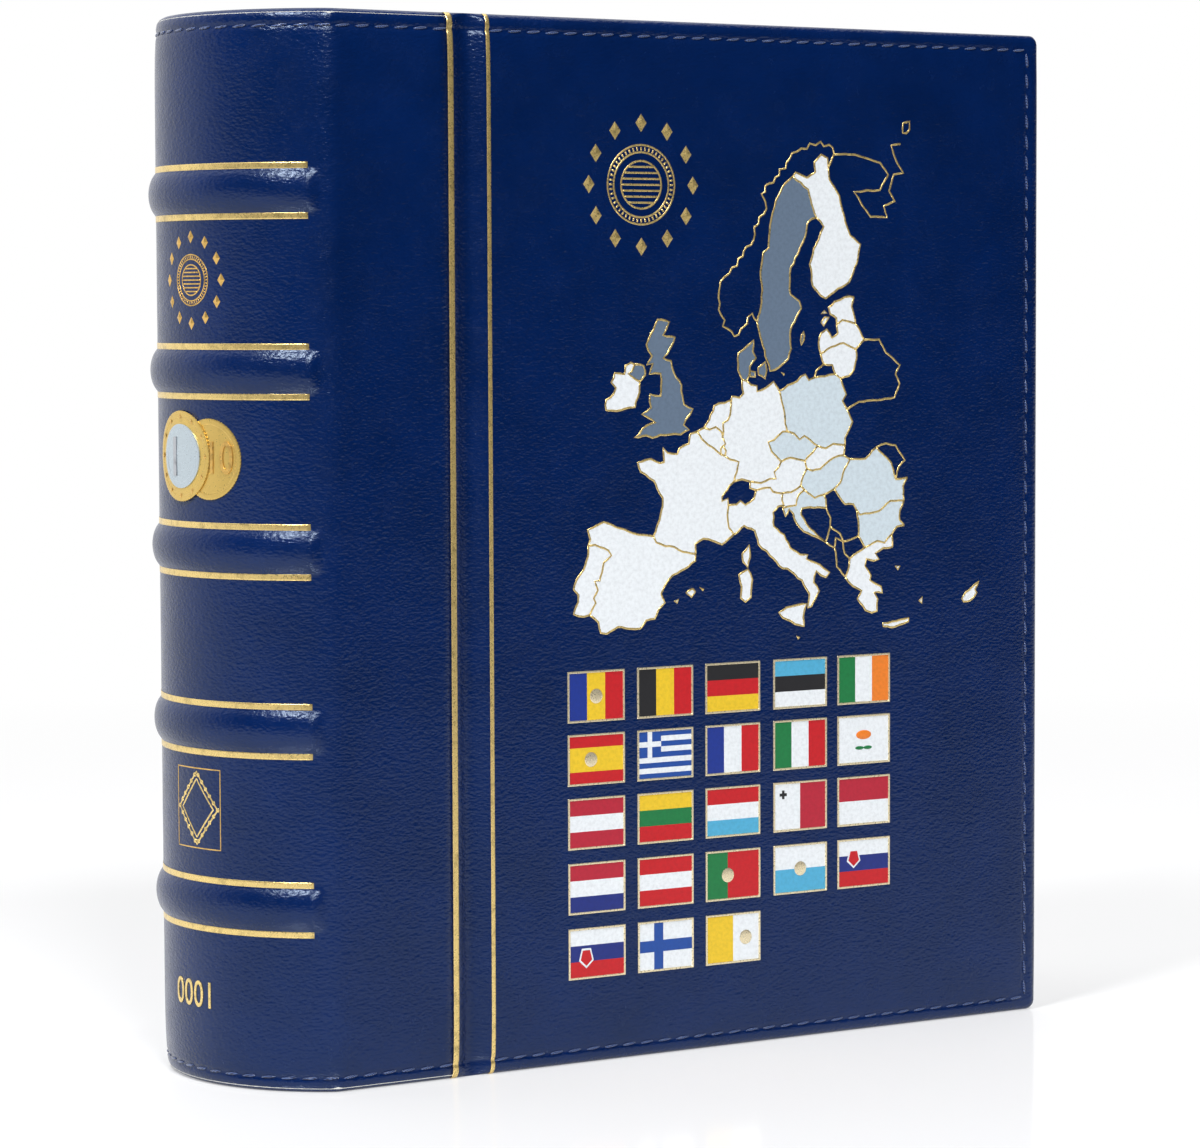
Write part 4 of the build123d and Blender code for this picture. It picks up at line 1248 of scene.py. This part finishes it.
def engraved_coin(centre, radius, line):
    """A blank coin drawn in foil lines: two rims with milling between them, and a ruled field."""
    field = 0.60
    lines = [(ring_points(radius * share, 72, centre), True) for share in (1.0, 0.82, field)]
    x, z = centre
    for i in range(MILLING_TICKS):
        angle = 2 * math.pi * i / MILLING_TICKS
        tick = [(x + math.cos(angle) * radius * r, z + math.sin(angle) * radius * r) for r in (0.86, 0.95)]
        lines.append((tick, False))
    for i in range(-RULINGS, RULINGS + 1):
        height = field * i / (RULINGS + 1)
        half = math.sqrt(field**2 - height**2) * 0.96
        ruling = [(v, z + height * radius) for v in spread(x - half * radius, x + half * radius, 0.8 * MM)]
        lines.append((ruling, False))
    return foil_cords(lines, "engraved_coin", line)


def subdivided(corners, step=1.2 * MM):
    """The same closed outline with points close enough together to bend round the spine."""
    points = []
    for (x0, y0), (x1, y1) in zip(corners, corners[1:] + corners[:1]):
        count = max(1, round(math.hypot(x1 - x0, y1 - y0) / step))
        points += [(x0 + (x1 - x0) * i / count, y0 + (y1 - y0) * i / count) for i in range(count)]
    return points


def make_front_emblem():
    """Twelve lozenges round a blank coin, near the top of the front."""
    coin = engraved_coin(EMBLEM_CENTRE, EMBLEM_COIN, EMBLEM_LINE)
    front_piece(coin, "emblem_blank_coin", GOLD, smooth=True)
    marks = ring_of_lozenges(EMBLEM_CENTRE, EMBLEM_RING, 4.9 * MM, 0.35 * MM)
    front_piece(marks, "emblem_lozenges", GOLD)


def narrowed(bm, share):
    bmesh.ops.scale(bm, vec=(share, 1, 1), verts=bm.verts)
    return bm


def make_spine_ring(z):
    """A small blank coin in a ring of lozenges."""
    coin = engraved_coin((MOTIF_S, z), 6.6 * MM, 0.19 * MM)
    spine_piece(coin, "spine_blank_coin", GOLD_DEEP, smooth=True)
    marks = ring_of_lozenges((MOTIF_S, z), 11.2 * MM, 3.4 * MM, 0.25 * MM)
    spine_piece(marks, "spine_lozenge_ring", GOLD_DEEP)


def make_spine_coins(z):
    """A gold coin, and a two-metal coin that lies partly over it. Each shows a plain number."""
    right, left = MOTIF_S + 6.5 * MM, MOTIF_S - 4.8 * MM
    spine_piece(moved(coin_mesh(10.6 * MM), right, z - 0.6 * MM, 0.1 * MM), "gold_coin", COIN_GOLD)
    number = narrowed(text_mesh("10", 8.4 * MM, 0.2 * MM), 0.78)
    moved(number, right + 3.6 * MM, z - 4.2 * MM, 0.36 * MM)
    spine_piece(number, "gold_coin_number", GOLD_DEEP)
    spine_piece(moved(coin_mesh(11.9 * MM), left, z, 0.45 * MM), "two_metal_coin_ring", COIN_GOLD)
    core = moved(coin_mesh(8.4 * MM, milling=0.0, segments=72), left, z, 0.62 * MM)
    spine_piece(core, "two_metal_coin_core", SILVER)
    marks = moved(ring_of_lozenges((0, 0), 10.4 * MM, 1.5 * MM, 0.12 * MM), left, z, 0.72 * MM)
    spine_piece(marks, "two_metal_coin_marks", GOLD_DEEP)
    number = moved(text_mesh("1", 10.5 * MM, 0.14 * MM), left - 2.6 * MM, z - 5.2 * MM, 0.84 * MM)
    spine_piece(number, "two_metal_coin_number", SILVER_DARK)


def make_spine_lozenge(z):
    """A double lozenge with beads along it, in a thin frame."""
    half_wide, half_high = 9.1 * MM, 10.5 * MM
    signs = ((-1, -1), (1, -1), (1, 1), (-1, 1))
    box = subdivided([(MOTIF_S + i * half_wide, z + j * half_high) for i, j in signs])
    spine_piece(foil_cords([(box, True)], "frame", 0.16 * MM), "spine_lozenge_frame", GOLD_DEEP)
    outlines = []
    for share in (1.0, 0.8):
        wide, high = 8.2 * MM * share, 9.6 * MM * share
        corners = [(MOTIF_S - wide, z), (MOTIF_S, z - high), (MOTIF_S + wide, z), (MOTIF_S, z + high)]
        outlines.append((subdivided(corners), True))
    spine_piece(foil_cords(outlines, "lozenge", 0.26 * MM), "spine_lozenge", GOLD)
    outer = outlines[0][0]
    beads = bmesh.new()
    for place in outer[::2]:
        made = bmesh.ops.create_uvsphere(beads, u_segments=10, v_segments=6, radius=0.62 * MM)["verts"]
        bmesh.ops.scale(beads, vec=(1, 1, 0.4), verts=made)
        bmesh.ops.translate(beads, vec=(*place, 0), verts=made)
    spine_piece(beads, "spine_lozenge_beads", GOLD, smooth=True)


def make_spine_number(z):
    """A plain number at the foot."""
    digits = narrowed(text_mesh("0001", 7.0 * MM, 0.12 * MM), 0.86)
    spine_piece(moved(digits, MOTIF_S - 2.2 * MM, z, 0.08 * MM), "spine_number", GOLD)


def make_spine_motifs():
    """Between the raised bands, from the top: a ring, two coins and a lozenge; below them, a number."""
    middles = [(low + high) / 2 for low, high in zip(BAND_Z, BAND_Z[1:])]
    make_spine_ring(middles[3] + 0.5 * MM)
    make_spine_coins(middles[2] + 1.1 * MM)
    make_spine_lozenge(middles[0] + 1.8 * MM)
    make_spine_number(20.4 * MM)


# =====================================================================================================
# the view
# =====================================================================================================


def make_camera():
    """A long lens at the front left, a little above the middle of the album."""
    yaw, pitch, roll = math.radians(31.804), math.radians(3.850), math.radians(-0.2314)
    ahead = Vector((math.sin(yaw) * math.cos(pitch), math.cos(yaw) * math.cos(pitch), -math.sin(pitch)))
    right = Vector((math.cos(yaw), -math.sin(yaw), 0))
    up = right.cross(ahead)
    turned_right = right * math.cos(roll) + up * math.sin(roll)
    turned_up = up * math.cos(roll) - right * math.sin(roll)
    camera = bpy.data.objects.new("camera", bpy.data.cameras.new("camera"))
    camera.data.lens = 120
    camera.data.sensor_width = 36
    camera.data.clip_end = 50
    turn = Matrix((turned_right, turned_up, -ahead)).transposed().to_4x4()
    place = Vector((-0.51826 + SEAM_X, -0.90836 - FACE, 0.20397))
    camera.matrix_world = Matrix.Translation(place) @ turn
    bpy.context.scene.collection.objects.link(camera)
    bpy.context.scene.camera = camera


def add_light(name, place, target, size, power):
    data = bpy.data.lights.new(name, "AREA")
    data.shape = "RECTANGLE"
    data.size, data.size_y = size
    data.energy = power
    light = bpy.data.objects.new(name, data)
    aim = (Vector(target) - Vector(place)).to_track_quat("-Z", "Y")
    light.matrix_world = Matrix.Translation(place) @ aim.to_matrix().to_4x4()
    bpy.context.scene.collection.objects.link(light)


FLOOR_AHEAD = 0.55  # how far the white sweep comes forward
FLOOR_HALF = 8


def floor_material():
    """White sweep: glows evenly, takes soft shadows, and mirrors the album faintly."""
    material, shader = new_material("studio_floor")
    shader.inputs["Base Color"].default_value = (0.92, 0.92, 0.93, 1)
    shader.inputs["Roughness"].default_value = 0.5
    shader.inputs["Specular IOR Level"].default_value = 0.0
    glow = add(material, "ShaderNodeEmission", {"Color": (1, 1, 1, 1), "Strength": 1.0})
    mirror = add(material, "ShaderNodeBsdfGlossy", {"Color": (1, 1, 1, 1), "Roughness": 0.10})
    reach = add(material, "ShaderNodeVectorMath", {0: object_place(material)}, operation="LENGTH")
    away = reach.outputs["Value"]
    near = {"Value": away, "From Min": 0.25, "From Max": 0.9, "To Min": 0.12, "To Max": 0.0}
    share = add(material, "ShaderNodeMapRange", near).outputs["Result"]
    ground = {"Value": away, "From Min": 0.25, "From Max": 1.0, "To Min": 0.45, "To Max": 1.0}
    fade = add(material, "ShaderNodeMapRange", ground).outputs["Result"]
    lit_inputs = {0: fade, 1: shader.outputs["BSDF"], 2: glow.outputs["Emission"]}
    lit = add(material, "ShaderNodeMixShader", lit_inputs)
    mixed_inputs = {0: share, 1: lit.outputs["Shader"], 2: mirror.outputs["BSDF"]}
    mixed = add(material, "ShaderNodeMixShader", mixed_inputs)
    output = material.node_tree.nodes["Material Output"]
    link(material, mixed.outputs["Shader"], output.inputs["Surface"])
    return material


def make_surround():
    """White to the camera. To the album it is bright behind and beside it, and dim in front."""
    world = bpy.data.worlds.new("studio")
    world.use_nodes = True
    bpy.context.scene.world = world
    nodes, links = world.node_tree.nodes, world.node_tree.links
    split = nodes.new("ShaderNodeSeparateXYZ")
    links.new(nodes.new("ShaderNodeTexCoord").outputs["Generated"], split.inputs["Vector"])
    depth = nodes.new("ShaderNodeMapRange")
    depth.inputs["From Min"].default_value = -1
    links.new(split.outputs["Y"], depth.inputs["Value"])
    shade = nodes.new("ShaderNodeValToRGB")
    links.new(depth.outputs["Result"], shade.inputs["Fac"])
    dim, bright = shade.color_ramp.elements
    dim.position, dim.color = 0.56, (0.02, 0.022, 0.03, 1)
    bright.position, bright.color = 0.84, (1, 1, 1, 1)
    lit = nodes["Background"]
    links.new(shade.outputs["Color"], lit.inputs["Color"])
    seen = nodes.new("ShaderNodeBackground")
    seen.inputs["Color"].default_value = (1, 1, 1, 1)
    mixed = nodes.new("ShaderNodeMixShader")
    links.new(nodes.new("ShaderNodeLightPath").outputs["Is Camera Ray"], mixed.inputs[0])
    links.new(lit.outputs["Background"], mixed.inputs[1])
    links.new(seen.outputs["Background"], mixed.inputs[2])
    links.new(mixed.outputs["Shader"], nodes["World Output"].inputs["Surface"])


def make_studio():
    """A white sweep, a bright surround and soft boxes."""
    bm = bmesh.new()
    bmesh.ops.create_grid(bm, x_segments=1, y_segments=1, size=FLOOR_HALF)
    bmesh.ops.translate(bm, vec=(0, FLOOR_HALF - FLOOR_AHEAD, 0), verts=bm.verts)
    finish_mesh(bm, "studio_floor", floor_material(), smooth=False)
    make_surround()
    middle = (0, 0, HEIGHT / 2)
    add_light("key_box", (-0.78, -0.36, 1.22), middle, (0.22, 0.30), 11)
    add_light("front_box", (-0.6, -2.2, 2.2), middle, (0.8, 0.5), 66)
    add_light("top_box", (0.0, 0.5, 2.2), (0, 0, 0), (3.0, 1.6), 18)
    bpy.context.scene.view_settings.view_transform = "Standard"


# =====================================================================================================
# carried-over nodes
# =====================================================================================================

NODE_MATERIALS = {
    "padding": FOAM,
    "board": GREYBOARD,
    "batten": GREYBOARD,
    "bands": GREYBOARD,
    "lining": LINING,
    "plate": NICKEL,
    "lever": NICKEL,
    "blade": NICKEL,
    "rivets": RING_STEEL,
    "pins": RING_STEEL,
    "ring_half": RING_STEEL,
    "tray": TRAY,
    "windows": FILM,
    "card": CARD,
    "skin": NAVY,
    "web": NAVY,
}


def dress_nodes():
    """Every node of the model gets the finish that its name calls for."""
    for name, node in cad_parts.items():
        key = next(word for word in NODE_MATERIALS if word in name)
        node.data.materials.clear()
        node.data.materials.append(NODE_MATERIALS[key])


make_camera()
make_studio()
dress_nodes()
make_spine_covering()
for cover_name, cover_side in (("front", -1), ("back", 1)):
    make_cover_covering(cover_name, cover_side)
    make_hinge_lines(cover_name, cover_side)
    make_cover_stitching(cover_name, cover_side)
make_band_lines()
make_spine_stitching()
make_map()
make_flags()
make_front_emblem()
make_spine_motifs()
